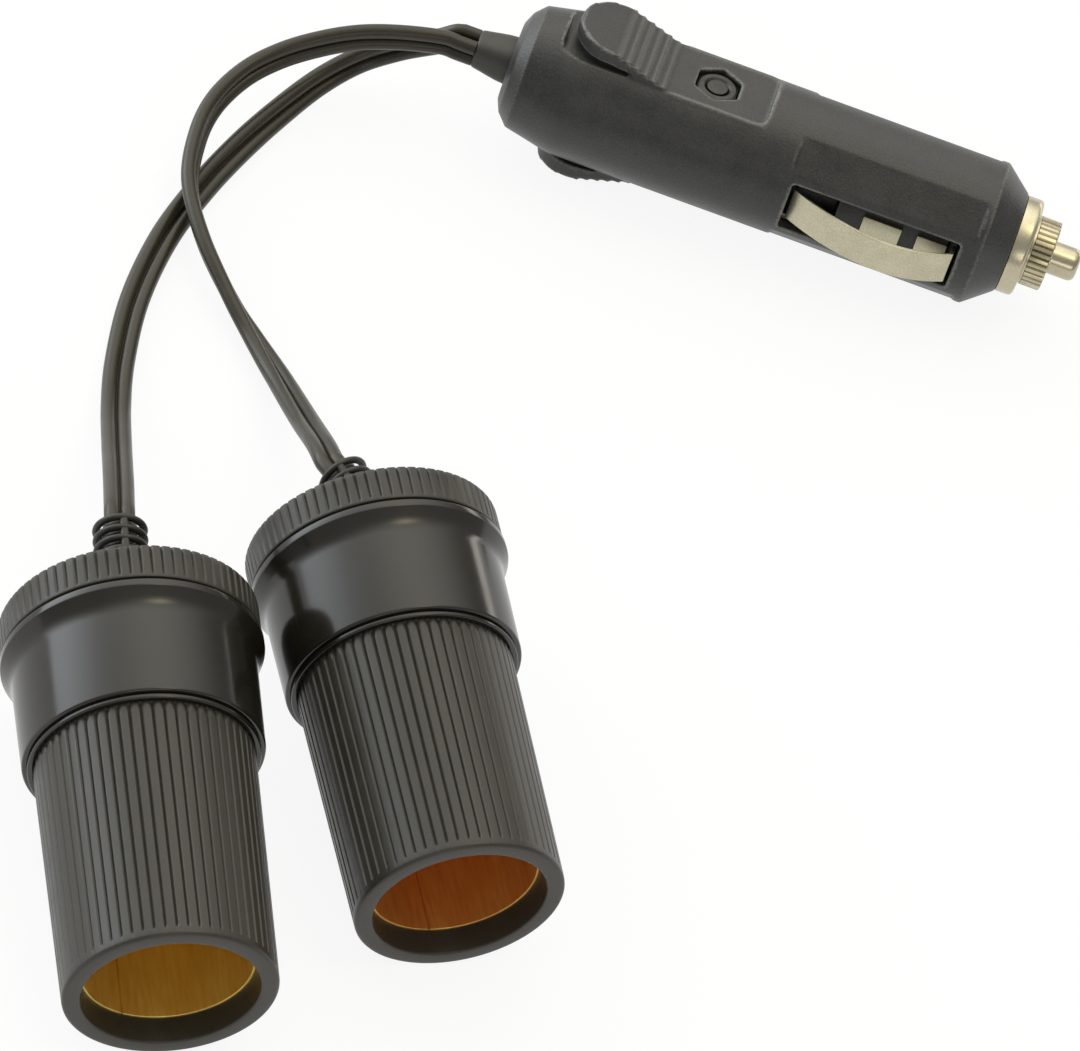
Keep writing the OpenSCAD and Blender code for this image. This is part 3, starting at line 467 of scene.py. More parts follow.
def new_tree(name, floats):
    """Geometry tree with a geometry, some sizes and a paint as its inputs."""
    tree = bpy.data.node_groups.new(name, "GeometryNodeTree")
    tree.interface.new_socket("Geometry", in_out="INPUT", socket_type="NodeSocketGeometry")
    for label in floats:
        tree.interface.new_socket(label, in_out="INPUT", socket_type="NodeSocketFloat")
    tree.interface.new_socket("Paint", in_out="INPUT", socket_type="NodeSocketMaterial")
    tree.interface.new_socket("Geometry", in_out="OUTPUT", socket_type="NodeSocketGeometry")
    source = tree.nodes.new("NodeGroupInput")
    wires = {socket.name: Wire(tree, socket) for socket in source.outputs if socket.name}
    return tree, wires


def close_tree(tree, geometry, paint):
    """Ends a geometry tree in plain painted geometry."""
    geometry = add(tree, "GeometryNodeRealizeInstances", [geometry])
    geometry = add(tree, "GeometryNodeSetMaterial", {"Geometry": geometry, "Material": paint})
    result = tree.nodes.new("NodeGroupOutput")
    tree.links.new(geometry.socket, result.inputs[0])


def ribs_tree():
    """Grooves along Z cut into a turned shape, narrow along their run and wider at their far end."""
    floats = (
        "Rib Count", "Groove Depth", "Groove Share", "First Place", "Last Place", "Run Out", "Least Radius",
        "Notch Length", "Notch Share",
    )
    tree, given = new_tree("ribs", floats)
    place = add(tree, "GeometryNodeInputPosition")
    x, y, z = (add(tree, "ShaderNodeSeparateXYZ", [place], out=k) for k in range(3))
    radius = (x * x + y * y).math("SQRT")
    share = (y.math("ARCTAN2", x) / tau * given["Rib Count"] + 1000.0).math("FRACT")
    to_groove = (share - 0.5).math("ABSOLUTE") * 2
    notch = ((z - given["Last Place"] + given["Notch Length"]) / given["Notch Length"]).clamped()
    wide = given["Groove Share"] + notch * given["Notch Share"]
    cut = ((to_groove - 1 + wide) / wide).clamped()
    start = ((z - given["First Place"]) / given["Run Out"]).clamped()
    stop = ((given["Last Place"] - z) / given["Run Out"] + 1).clamped()
    outside = radius.math("GREATER_THAN", given["Least Radius"])
    inward = cut * start * stop * outside * given["Groove Depth"] * -1
    offset = add(tree, "ShaderNodeCombineXYZ", [x / radius * inward, y / radius * inward, 0.0])
    moved = add(tree, "GeometryNodeSetPosition", {"Geometry": given["Geometry"], "Offset": offset})
    close_tree(tree, moved, given["Paint"])
    return tree


def rings_tree():
    """Rounded rings set on points, square to the direction that each point carries."""
    tree, given = new_tree("rings", ("Ring Radius", "Ring Width", "Ring Thickness"))
    centre = given["Ring Radius"] - given["Ring Width"] / 2
    path = add(tree, "GeometryNodeCurvePrimitiveCircle", {"Resolution": 48, "Radius": centre})
    section = add(tree, "GeometryNodeCurvePrimitiveCircle", {"Resolution": 12, "Radius": 0.5})
    size = add(tree, "ShaderNodeCombineXYZ", [given["Ring Width"], given["Ring Thickness"], 1.0])
    section = add(tree, "GeometryNodeTransform", {"Geometry": section, "Scale": size})
    ring = add(tree, "GeometryNodeCurveToMesh", {"Curve": path, "Profile Curve": section})
    heading = add(tree, "GeometryNodeInputNamedAttribute", {"Name": "heading"}, data_type="FLOAT_VECTOR")
    facing = add(tree, "FunctionNodeAlignRotationToVector", {"Vector": heading}, axis="Z")
    spots = {"Points": given["Geometry"], "Instance": ring, "Rotation": facing}
    rings = add(tree, "GeometryNodeInstanceOnPoints", spots)
    close_tree(tree, rings, given["Paint"])
    return tree


def worked(name, mesh, tree, values, paint, smooth=35):
    """Plain mesh object from a mesh that a node tree has worked on."""
    rough = bpy.data.objects.new("rough_" + name, mesh)
    bpy.context.scene.collection.objects.link(rough)
    modifier = rough.modifiers.new("work", "NODES")
    modifier.node_group = tree
    for socket in tree.interface.items_tree:
        if socket.in_out == "INPUT" and socket.name in values:
            modifier[socket.identifier] = values[socket.name]
        if socket.in_out == "INPUT" and socket.name == "Paint":
            modifier[socket.identifier] = paint
    depsgraph = bpy.context.evaluated_depsgraph_get()
    result = bpy.data.meshes.new_from_object(rough.evaluated_get(depsgraph))
    bpy.data.objects.remove(rough)
    result.name = name
    if "heading" in result.attributes:
        result.attributes.remove(result.attributes["heading"])
    return new_object(name, result, paint, smooth)


RIBS = ribs_tree()
RING_TREE = rings_tree()

# Sockets


def relief_point(relief, share, on=0.0):
    """Place at a share of the ringed part of a relief, or further on along it, and the heading there."""
    straight, bend, way = relief
    bend_r = RELIEF_L / radians(bend)
    at = radians(bend) * share
    toward = Vector((-cos(radians(way)), -sin(radians(way)), 0))
    heading = toward * sin(at) + Vector((0, 0, cos(at)))
    place = toward * (bend_r * (1 - cos(at))) + Vector((0, 0, CAP_END + straight + bend_r * sin(at)))
    return place + heading * on, heading


def circle(centre, heading, radius, sides):
    """Points of a circle square to a heading."""
    flat = heading.cross(Vector((1, 0, 0))).normalized()
    across = flat.cross(heading)
    points = []
    for k in range(sides):
        angle = tau * k / sides
        points.append(centre + (flat * cos(angle) + across * sin(angle)) * radius)
    return points


RELIEF_SIDES = 40
RELIEF_STEPS = 24
POINT_R = 0.01
FLANGE_R = 10.9
FLANGE_T = 1.7
HUB_R = 3.5
RELIEF_CORE_R = 2.35
RELIEF_TAPER = 0.1


def relief_core(relief):
    """Hub, flange and bent core of a strain relief."""
    start = CAP_END + relief[0]
    rings = []
    axis = Vector((0, 0, 1))
    straight = [
        (GLAND_START, POINT_R), (GLAND_START, FLANGE_R), (GLAND_START + FLANGE_T, FLANGE_R),
        (GLAND_START + FLANGE_T, 3.6), (GLAND_START + 1.9, HUB_R), (CAP_END, HUB_R), (start - 0.7, HUB_R),
        (start - 0.3, 3.3), (start - 0.1, 2.9), (start, 2.4),
    ]
    for at, radius in straight:
        rings.append(circle(Vector((0, 0, at)), axis, radius, RELIEF_SIDES))
    for i in range(1, RELIEF_STEPS + 1):
        place, heading = relief_point(relief, i / RELIEF_STEPS)
        rings.append(circle(place, heading, RELIEF_CORE_R - RELIEF_TAPER * i / RELIEF_STEPS, RELIEF_SIDES))
    place, heading = relief_point(relief, 1)
    rings.append(circle(place, heading, POINT_R, RELIEF_SIDES))
    return loft("relief_core", rings)


# Outline of a web, as places across it and away from the core
WEB = ((-0.5, 2.0), (0.5, 2.0), (0.5, 3.3), (0.3, 3.5), (-0.3, 3.5), (-0.5, 3.3))


def relief_web(relief, side):
    """Flat web that joins the rings along one side of the relief."""
    way = radians(relief[2])
    out = Vector((sin(way), -cos(way), 0)) * side
    rings = []
    for i in range(RELIEF_STEPS + 1):
        place, heading = relief_point(relief, (i - 1) / RELIEF_STEPS)
        aside = heading.cross(out)
        rings.append([place + out * far + aside * across for across, far in WEB])
    return loft("relief_web", rings)


def relief_rings(relief):
    """Points along the relief, each with the direction that its ring is square to."""
    mesh = bpy.data.meshes.new("ring_places")
    spots = [relief_point(relief, (i + 0.5) / RINGS) for i in range(RINGS)]
    mesh.from_pydata([tuple(place) for place, heading in spots], [], [])
    headings = mesh.attributes.new("heading", "FLOAT_VECTOR", "POINT")
    headings.data.foreach_set("vector", [part for place, heading in spots for part in heading])
    return mesh


def joined(name, parts, paint, smooth=35):
    """One object from several meshes."""
    work = bmesh.new()
    for part in parts:
        work.from_mesh(part)
    mesh = bpy.data.meshes.new(name)
    work.to_mesh(mesh)
    work.free()
    return new_object(name, mesh, paint, smooth)


LINER_TURNS = 120
# Degrees about the seam that hold no other row, and how near the inside wall a point must lie to be cut
SEAM_FREE = 1.6
GROOVED = 0.05
# Edges of the seam's groove: degrees from its middle, and depth
SEAM = ((-1, 0.0), (-0.6, 0.28), (0.6, 0.28), (1, 0.0))


def liner(name, seam, paint):
    """Contact tube rolled from sheet metal, with the narrow groove of its seam along the inside."""
    inside = TUBE_R - TUBE_WALL
    outside = TUBE_R - SKIN_GAP
    end = INSULATOR - SKIN_GAP
    outline = rounded([
        (TUBE_START, inside, 0.12), (TUBE_START, outside, 0.05), (end, outside), (end, FLOOR_R),
        (INSULATOR - TUBE_WALL, FLOOR_R), (INSULATOR - TUBE_WALL, BEAD_R, 0.3),
        (INSULATOR - BEAD_L, BEAD_R, 0.3), (INSULATOR - BEAD_L, inside, 0.2),
    ])
    turns = [360 * k / LINER_TURNS for k in range(LINER_TURNS)]
    turns = [(degrees, 0.0) for degrees in turns if abs(degrees - seam) > SEAM_FREE]
    turns += [(seam + degrees, groove) for degrees, groove in SEAM]
    turns.sort()
    rows = len(outline)
    vertices = []
    for degrees, groove in turns:
        angle = radians(degrees)
        for point in outline:
            reach = point.y
            if point.y < inside + GROOVED and point.x < INSULATOR - BEAD_L:
                reach += groove
            vertices.append((reach * cos(angle), reach * sin(angle), point.x))
    faces = []
    for s in range(len(turns)):
        nxt = (s + 1) % len(turns)
        for i in range(rows):
            j = (i + 1) % rows
            faces.append((s * rows + i, s * rows + j, nxt * rows + j, nxt * rows + i))
    mesh = cleaned(name, vertices, faces)
    around = mesh.uv_layers.new(name="around")
    for face in mesh.polygons:
        middle = atan2(face.center.y, face.center.x)
        for loop in face.loop_indices:
            spot = mesh.vertices[mesh.loops[loop].vertex_index].co
            angle = middle + remainder(atan2(spot.y, spot.x) - middle, tau)
            around.data[loop].uv = (angle * TUBE_R * MM, spot.z * MM)
    return new_object(name, mesh, paint, smooth=30)


# Where the seam of each contact tube lies, in degrees round it, and the tube's colour: one bronze, painted
# lighter and more golden on the left as painted light and darker on the right as painted shade
SEAMS = {"left": (203, left_tube_bronze_painted_light), "right": (186, right_tube_bronze_painted_shade)}
# Ledge where the sleeve ends and the barrel begins
RIM = SLEEVE_L + 0.6
SLEEVE_RIBS = 60
SLEEVE_STEPS = 12
SLEEVE_ROWS = (1.2, 1.8, SLEEVE_L - 1.4, SLEEVE_L - 0.9, SLEEVE_L - 0.1, SLEEVE_L + 0.2)
SLEEVE_GROOVES = {
    "Rib Count": SLEEVE_RIBS, "Groove Depth": 0.34, "Groove Share": 0.28, "First Place": 1.1,
    "Last Place": SLEEVE_L - 0.1, "Run Out": 0.6, "Least Radius": 13.05, "Notch Length": 1.1,
    "Notch Share": 0.6,
}
CAP_RIBS = 74
CAP_STEPS = 10
CAP_ROWS = (CAP_START + 0.45, CAP_START + 0.9, CAP_END - 1.4)
CAP_GROOVES = {
    "Rib Count": CAP_RIBS, "Groove Depth": 0.28, "Groove Share": 0.34, "First Place": CAP_START + 0.4,
    "Last Place": CAP_END, "Run Out": 0.4, "Least Radius": 15.5, "Notch Length": 1.0, "Notch Share": 0.0,
}
# Front step, flare and floor of the barrel
RIM_EDGE = RIM + 0.15
RIM_R = SLEEVE_TOP_R + 0.55
BARREL_FLOOR = SPIGOT_END + 3
FLARE_START = BARREL_END - 3.04
FLARE_END = BARREL_END - 1.2
BARREL_STEPS = 160
CAP_FLOOR = 1.2
CAP_WALL = 1.5
CAP_THREAD_END = SPIGOT_END + 5.4
RING_SIZES = {"Ring Radius": RELIEF_R, "Ring Width": 1.0, "Ring Thickness": 0.92}

for side, (matrix, relief) in SOCKETS.items():
    sleeve = lathe("sleeve", [
        (0, LIP_R, 0.3), (0, MOUTH_R, 0.55), (RIM, SLEEVE_TOP_R - 0.02), (RIM, SPIGOT_R),
        (SPIGOT_END, SPIGOT_R), (SPIGOT_END, TUBE_R), (TUBE_START, TUBE_R),
    ], SLEEVE_RIBS * SLEEVE_STEPS, SLEEVE_ROWS)
    sleeve = worked(side + "_ribbed_sleeve_shell", sleeve, RIBS, SLEEVE_GROOVES, ribbed_plastic, smooth=28)
    settle(sleeve, matrix, "housing", side + "_ribbed_sleeve")
    tube = liner(side + "_contact_tube_rolled", *SEAMS[side])
    settle(tube, matrix, "housing", side + "_contact_tube")

    barrel = lathe("barrel", [
        (SLEEVE_L, SLEEVE_TOP_R + 0.1), (SLEEVE_L, SLEEVE_TOP_R + 0.7, 0.25),
        (RIM, SLEEVE_TOP_R + 0.75, 0.15), (RIM, RIM_R), (RIM_EDGE, RIM_R), (RIM_EDGE, BARREL_R, 0.4),
        (FLARE_START, BARREL_R + 0.15 * COLLAR_RIM, 1.2), (FLARE_END, COLLAR_R - 0.1 * COLLAR_RIM, 0.3),
        (COLLAR_FRONT, COLLAR_R, 0.1), (BARREL_END, COLLAR_R, 0.2), (BARREL_END, SKIRT_R + PLAY),
        (BARREL_FLOOR, SKIRT_R + PLAY), (BARREL_FLOOR, TUBE_R), (SPIGOT_END, TUBE_R), (SPIGOT_END, SPIGOT_R),
        (RIM, SPIGOT_R), (RIM, SLEEVE_TOP_R + 0.1),
    ], BARREL_STEPS)
    barrel = new_object(side + "_barrel_shell", barrel, barrel_plastic, smooth=40)
    settle(barrel, matrix, "housing", side + "_barrel")

    cap = lathe("cap", [
        (CAP_END - CAP_FLOOR, RELIEF_R + 0.2), (CAP_END - CAP_FLOOR, SKIRT_R - CAP_WALL),
        (CAP_THREAD_END, SKIRT_R - CAP_WALL), (CAP_THREAD_END, SKIRT_R), (CAP_START, SKIRT_R),
        (CAP_START, CAP_R, 0.3), (CAP_END, CAP_R, 0.8), (CAP_END, RELIEF_R + 0.2, 0.2),
    ], CAP_RIBS * CAP_STEPS, CAP_ROWS)
    cap = worked(side + "_rear_cap_shell", cap, RIBS, CAP_GROOVES, ribbed_plastic, smooth=28)
    settle(cap, matrix, side + "_cap", side + "_rear_cap")

    rings = worked("rings", relief_rings(relief), RING_TREE, RING_SIZES, relief_pvc)
    parts = [relief_core(relief), relief_web(relief, 1), relief_web(relief, -1), rings.data]
    relief_mesh = joined(side + "_strain_relief_shell", parts, relief_pvc)
    bpy.data.objects.remove(rings)
    settle(relief_mesh, matrix, "housing", side + "_strain_relief")

# Plug

ON_X = PLUG @ turn(90, "Y")
NOSE = 74.5
RING_FRONT = NOSE + 2.5
KNURL = RING_FRONT + 0.35
KNURL_FRONT = KNURL + 2.95
TIP = KNURL_FRONT + 4.1
THREAD_R = 4.4
PIN_R = 2.35


def merged(node):
    """Working copy of a CAD piece without double points."""
    work = bmesh.new()
    work.from_mesh(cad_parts[node].data)
    bmesh.ops.remove_doubles(work, verts=work.verts, dist=1e-7)
    return work


# How far a point stands out from its neighbours where the light edge colour begins, and where it is full:
# partly wear, partly painted highlight
WEAR_AND_HIGHLIGHT_FROM = 0.009
WEAR_AND_HIGHLIGHT_FULL = 0.035
# Raised line round the flat panel, with a painted highlight along it
PANEL_START = 22.0
PANEL_END = 36.6
PANEL_HALF = 5.6
PANEL_LOW = 8.0
PANEL_CORNER = 1.6
LINE_WIDTH = 0.35
LINE_HEIGHT = 0.16
LINE_PAINTED_HIGHLIGHT = 0.7


def listed(rows, label, width, kind=float):
    """Table of one property over the points or edges of a mesh."""
    values = np.empty(len(rows) * width, dtype=kind)
    rows.foreach_get(label, values)
    return values.reshape(-1, width)


def mark_wear_and_highlight(mesh):
    """Raises the line round the panel and writes the light edge colour of each point of the skin, 1 on sharp
    edges: partly wear, partly painted highlight.
    """
    spots = listed(mesh.vertices, "co", 3)
    normals = listed(mesh.vertex_normals, "vector", 3)
    ends = listed(mesh.edges, "vertices", 2, int)
    count = len(spots)
    pull = np.zeros((count, 3))
    touching = np.zeros(count)
    for here, there in ((0, 1), (1, 0)):
        np.add.at(pull, ends[:, here], spots[ends[:, there]] - spots[ends[:, here]])
        np.add.at(touching, ends[:, here], 1)
    bulge = -(pull * normals).sum(axis=1) / np.maximum(touching, 1)
    # Convex points get the light edge colour: partly wear, partly painted highlight.
    wear_and_highlight = np.clip((bulge - WEAR_AND_HIGHLIGHT_FROM) / (WEAR_AND_HIGHLIGHT_FULL - WEAR_AND_HIGHLIGHT_FROM), 0, 1)
    # Distance to the panel's outline, a box with rounded corners
    along = spots[:, 0] - PANEL_END + PANEL_CORNER
    aside = np.abs(spots[:, 1]) - PANEL_HALF + PANEL_CORNER
    away = np.hypot(np.maximum(along, 0), np.maximum(aside, 0)) + np.minimum(np.maximum(along, aside), 0)
    line = np.exp(-((away - PANEL_CORNER) / LINE_WIDTH) ** 2)
    line *= (spots[:, 2] > PANEL_LOW) * np.clip(spots[:, 0] - PANEL_START, 0, 1)
    spots += normals * line[:, None] * LINE_HEIGHT
    mesh.vertices.foreach_set("co", spots.ravel())
    # The panel line is painted lighter: a painted highlight.
    wear_and_highlight = np.maximum(wear_and_highlight, line * LINE_PAINTED_HIGHLIGHT)
    mesh.attributes.new("wear_and_highlight", "FLOAT", "POINT").data.foreach_set("value", wear_and_highlight)


# Shells, and whether each lies above the seam
SHELLS = {"upper_shell": True, "lower_shell": False}
SEAM_PLAY = 1e-3


def moulded_shells(voxel, rounds):
    """Both shells with soft moulded edges, made as one skin and cut at the seam so that it hardly shows."""
    back = PLUG.inverted()
    whole = bpy.data.meshes.new("shells")
    both = bmesh.new()
    for node in SHELLS:
        work = merged(node)
        work.transform(back)
        seam = [face for face in work.faces if all(abs(vert.co.z) < SEAM_PLAY for vert in face.verts)]
        bmesh.ops.delete(work, geom=seam, context="FACES")
        work.to_mesh(whole)
        work.free()
        both.from_mesh(whole)
    bmesh.ops.remove_doubles(both, verts=both.verts, dist=SEAM_PLAY)
    both.to_mesh(whole)
    both.free()
    rough = new_object("rough_shells", whole, plug_plastic)
    remesh = rough.modifiers.new("remesh", "REMESH")
    remesh.mode = "VOXEL"
    remesh.voxel_size = voxel
    smooth = rough.modifiers.new("smooth", "SMOOTH")
    smooth.factor = 0.5
    smooth.iterations = rounds
    depsgraph = bpy.context.evaluated_depsgraph_get()
    skin = bpy.data.meshes.new_from_object(rough.evaluated_get(depsgraph))
    bpy.data.objects.remove(rough)
    mark_wear_and_highlight(skin)
    for node, upper in SHELLS.items():
        work = bmesh.new()
        work.from_mesh(skin)
        bmesh.ops.bisect_plane(
            work, geom=work.verts[:] + work.edges[:] + work.faces[:], dist=1e-5, plane_co=(0, 0, 0),
            plane_no=(0, 0, 1), clear_inner=upper, clear_outer=not upper,
        )
        half = bpy.data.meshes.new(node + "_skin")
        work.to_mesh(half)
        work.free()
        half.transform(PLUG)
        made = new_object(node + "_skin", half, plug_plastic, smooth=180)
        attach(made, "housing")
        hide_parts(node)


moulded_shells(voxel=0.26, rounds=1)

RING_BACK = NOSE - 4.3
FLANGE_FRONT = NOSE - 3.1
RING_R = 7.05
RING_BORE_R = 4.45
STEM_R = 5.4
RING_FLANGE_R = 6.2
RING_STEPS = 96
nose_ring = lathe("nose_ring", [
    (RING_BACK, RING_BORE_R), (RING_BACK, RING_FLANGE_R), (FLANGE_FRONT, RING_FLANGE_R),
    (FLANGE_FRONT, STEM_R), (NOSE, STEM_R), (NOSE, RING_R, 0.2), (RING_FRONT, RING_R, 0.75),
    (RING_FRONT, RING_BORE_R, 0.1),
], RING_STEPS)
settle(new_object("nose_ring_turned", nose_ring, nickel), ON_X, "housing", "nose_ring")

TEETH = 36
TOOTH_STEPS = 12
NUT_BACK = NOSE - 3.9
NUT_FLOOR = KNURL - 0.4
NUT_BORE_R = 3.45
KNURL_R = 5.05
PIN_HOLE_R = PIN_R + PLAY
KNURL_GROOVES = {
    "Rib Count": TEETH, "Groove Depth": 0.4, "Groove Share": 0.5, "First Place": KNURL - 0.3,
    "Last Place": TIP, "Run Out": 0.1, "Least Radius": 4.6, "Notch Length": 1.0, "Notch Share": 0.0,
}
nut = lathe("nut", [
    (NUT_BACK, NUT_BORE_R), (NUT_BACK, THREAD_R, 0.2), (KNURL, THREAD_R), (KNURL, KNURL_R, 0.12),
    (KNURL_FRONT, KNURL_R, 0.3), (KNURL_FRONT, PIN_HOLE_R, 0.1), (NUT_FLOOR, PIN_HOLE_R),
    (NUT_FLOOR, NUT_BORE_R),
], TEETH * TOOTH_STEPS)
nut = worked("nose_nut_knurled", nut, RIBS, KNURL_GROOVES, nickel, smooth=25)
settle(nut, ON_X, "nut", "nose_nut")

PIN_HEAD_T = 1.4
PIN_HEAD_R = 3.0
PIN_HEAD = NUT_FLOOR - PLAY - PIN_HEAD_T
PIN_NECK = PIN_HEAD + PIN_HEAD_T
PIN_STEPS = 64
pin = lathe("pin", [
    (PIN_HEAD, 0), (PIN_HEAD, PIN_HEAD_R, 0.1), (PIN_NECK, PIN_HEAD_R, 0.1), (PIN_NECK, PIN_R),
    (TIP, PIN_R, 1.1), (TIP, 0),
], PIN_STEPS)
settle(new_object("tip_pin_turned", pin, nickel), ON_X, "tip", "tip_pin")

WIRE_R = 0.3
WIRE_SIDES = 12
COIL_R = 2.55
COIL_STEPS = 40
SPRING_TURNS = 5


def wound_spring():
    """Tip spring as a fine coil in the plug's frame, and the places of its two ends."""
    rough = merged("tip_spring")
    rough.transform(PLUG.inverted())
    low = min(vert.co.x for vert in rough.verts)
    high = max(vert.co.x for vert in rough.verts)
    rough.free()
    rise = high - low - 2 * WIRE_R
    steps = COIL_STEPS * SPRING_TURNS
    rings = []
    for i in range(steps + 1):
        at = tau * i / COIL_STEPS
        ring = []
        for k in range(WIRE_SIDES):
            around = tau * k / WIRE_SIDES
            reach = COIL_R + WIRE_R * cos(around)
            place = low + WIRE_R + rise * i / steps + WIRE_R * sin(around)
            ring.append((place, reach * cos(at), reach * sin(at)))
        rings.append(ring)
    return loft("tip_spring_wound", rings), low, high


coil, spring_back, spring_front = wound_spring()
spring = new_object("tip_spring_wound", coil, steel, smooth=60)
settle(spring, PLUG, "housing", "tip_spring")
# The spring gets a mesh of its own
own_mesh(spring)


def softened(name, node, width, body, paint):
    """Copy of a CAD piece with small rounds on its edges."""
    mesh = bpy.data.meshes.new(name)
    work = merged(node)
    bmesh.ops.dissolve_limit(work, angle_limit=radians(1), verts=work.verts, edges=work.edges)
    work.to_mesh(mesh)
    work.free()
    made = new_object(name, mesh, paint, smooth=30)
    bevel = made.modifiers.new("bevel", "BEVEL")
    bevel.width = width * MM
    bevel.segments = 2
    bevel.limit_method = "ANGLE"
    bevel.angle_limit = radians(30)
    bevel.harden_normals = True
    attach(made, body)
    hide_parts(node)


for side in SOCKETS:
    contact = side + "_side_contact"
    strap = side + "_earth_strap"
    softened(contact + "_strip", contact, 0.1, side + "_contact", spring_nickel)
    softened(strap + "_strip", strap, 0.08, "housing", spring_nickel)

SCREW_X = 28.4
SCREW_R = 1.5
NUT_AF = 5.8
NUT_H = 2.2
NUT_Z = 6.0
NUT_STEPS = 120
SEAT_SHARE = 0.9
SINK_R = SCREW_R + 0.5
SINK_DEPTH = 0.45
SIXTH = pi / 6


def hexagon_nut():
    """Nut with chamfered corners and a countersunk thread, in the plug's frame."""
    flat = NUT_AF / 2
    seat = SEAT_SHARE * flat
    hole = SCREW_R + 0.02
    vertices = []
    faces = []
    for s in range(NUT_STEPS):
        angle = tau * s / NUT_STEPS
        reach = flat / cos((angle + SIXTH) % (2 * SIXTH) - SIXTH)
        corner = NUT_H - (reach - seat) * tan(SIXTH)
        outline = [
            (0, hole), (0, reach), (corner, reach), (NUT_H, seat), (NUT_H, SINK_R),
            (NUT_H - SINK_DEPTH, hole),
        ]
        rows = len(outline)
        for z, radius in outline:
            vertices.append((SCREW_X + radius * cos(angle), radius * sin(angle), NUT_Z + z))
        nxt = (s + 1) % NUT_STEPS
        for i in range(rows):
            j = (i + 1) % rows
            faces.append((s * rows + i, s * rows + j, nxt * rows + j, nxt * rows + i))
    return cleaned("shell_nut_chamfered", vertices, faces)


nut = new_object("shell_nut_chamfered", hexagon_nut(), steel_painted_recess_shade, smooth=20)
settle(nut, PLUG, "housing", "shell_nut")
softened("shell_screw_painted_shade", "shell_screw", 0.12, "housing", steel_painted_recess_shade)

# Rows of the boot: place along the plug, rounding of its outline and share of its size
BOOT_ROWS = (
    (2.9, 1.85, 0.2), (2.9, 1.85, 1), (0, 1.85, 1), (-1.2, 1.76, 1), (-2.6, 1.55, 1), (-3.9, 1.33, 1),
    (-4.7, 1.21, 1), (-5.0, 1.15, 0.99), (-BOOT_L, 1.1, 0.94), (-BOOT_L, 1.1, 0.2),
)
BOOT_BULGE = 2.9
BOOT_SIDES = 64


def boot_section(x, radius, share):
    """Outline of the boot at a place behind the plug: a rounded box over both leads."""
    ring = []
    for k in range(BOOT_SIDES):
        angle = tau * (k + 0.5) / BOOT_SIDES
        across, up = cos(angle), sin(angle)
        wide = abs(across / (CORE_Y + radius)) ** BOOT_BULGE
        high = abs(up / (CORE_Z + radius)) ** BOOT_BULGE
        far = share * (wide + high) ** (-1 / BOOT_BULGE)
        ring.append(Vector((x, far * across, far * up)))
    return ring


BOOT_FLANGE = ((3.0, 0), (3.0, 5.2), (4.5, 5.2), (4.5, 0))
boot = loft("boot", [boot_section(*row) for row in BOOT_ROWS])
inner = lathe("boot_flange", BOOT_FLANGE, BOOT_SIDES)
inner.transform(turn(90, "Y"))
boot = joined("plug_boot_skin", [boot, inner], boot_pvc, smooth=50)
settle(boot, PLUG, "housing", "plug_boot")

# Leads

LEAD_STEPS = 8
LEAD_SIDES = 48
CORE_R = LEAD_T / 2 - 0.1
WEB_SHARE = 0.3


def curve_point(a, b, c, d, t):
    """Point at the share t of a smooth curve from b to c, with a before it and d after it."""
    square = (2 * a - 5 * b + 4 * c - d) * t * t
    cube = (3 * b - a - 3 * c + d) * t * t * t
    return 0.5 * (2 * b + (c - a) * t + square + cube)


def lead_rows(side, y, route):
    """Rows of place and turn along a lead, from the boot to the strain relief, as in the part's source."""
    matrix, relief = SOCKETS[side]
    back = Matrix.Diagonal((1 / MM, 1 / MM, 1 / MM, 1))
    rows = [(*(back @ PLUG @ Vector((-BOOT_L - on, y, 0))), 90) for on in (0, LEAD_T)]
    rows += route
    rows += [(*(back @ matrix @ relief_point(relief, 1, on)[0]), 0) for on in (LEAD_T, 0)]
    rows = [Vector(row) for row in rows]
    refined = [rows[0]]
    for i in range(1, len(rows) - 2):
        refined += [curve_point(*rows[i - 1:i + 3], s / LEAD_STEPS) for s in range(LEAD_STEPS)]
    return refined + rows[-2:]


def lead(name, side, y, route):
    """Flat twin lead: two round cores side by side with a groove between them."""
    rows = lead_rows(side, y, route)
    half = LEAD_W / 2 - CORE_R
    rings = []
    for i, row in enumerate(rows):
        onward = (rows[min(i + 1, len(rows) - 1)] - rows[max(i - 1, 0)]).to_3d().normalized()
        side_way = onward.cross(Vector((0, 0, 1))).normalized()
        over = side_way.cross(onward)
        at = radians(row[3])
        wide = side_way * cos(at) + over * sin(at)
        thick = over * cos(at) - side_way * sin(at)
        ring = []
        for k in range(LEAD_SIDES):
            angle = tau * (k + 0.5) / LEAD_SIDES
            across, up = cos(angle), sin(angle)
            off = half * abs(up)
            far = half * abs(across) + sqrt(CORE_R * CORE_R - off * off) if off < CORE_R else 0
            web = WEB_SHARE * CORE_R / abs(up)
            if web * abs(across) < half:
                far = max(far, web)
            ring.append(row.to_3d() + (wide * across + thick * up) * far)
        rings.append([p * MM for p in ring])
    mesh = loft(name, rings)
    made = new_object(name, mesh, lead_pvc, smooth=60)
    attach(made, "housing")
    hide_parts(side + "_lead")
    path = [row.to_3d() * MM for row in rows]
    length = sum((q - p).length for p, q in zip(path, path[1:]))


lead("left_lead_cable", "left", CORE_Y, LEFT_ROUTE)
lead("right_lead_cable", "right", -CORE_Y, RIGHT_ROUTE)

# Finishes of the CAD pieces that stay

PAINTS = {
    "nut_washer": nickel, "fuse_glass": fuse_glass, "fuse_caps": nickel, "fuse_element": steel,
    "live_terminal": brass, "plug_live_wires": red_pvc, "plug_earth_wires": black_pvc,
}
for side in SOCKETS:
    PAINTS.update({
        side + "_cap_washer": fibre, side + "_insulator": phenolic, side + "_centre_contact": brass,
        side + "_live_tag": brass, side + "_earth_tag": brass, side + "_live_wire": red_pvc,
        side + "_earth_wire": black_pvc,
    })
for node, paint in PAINTS.items():
    dress(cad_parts[node].data, paint, smooth=30)

# Floor, backdrop and light


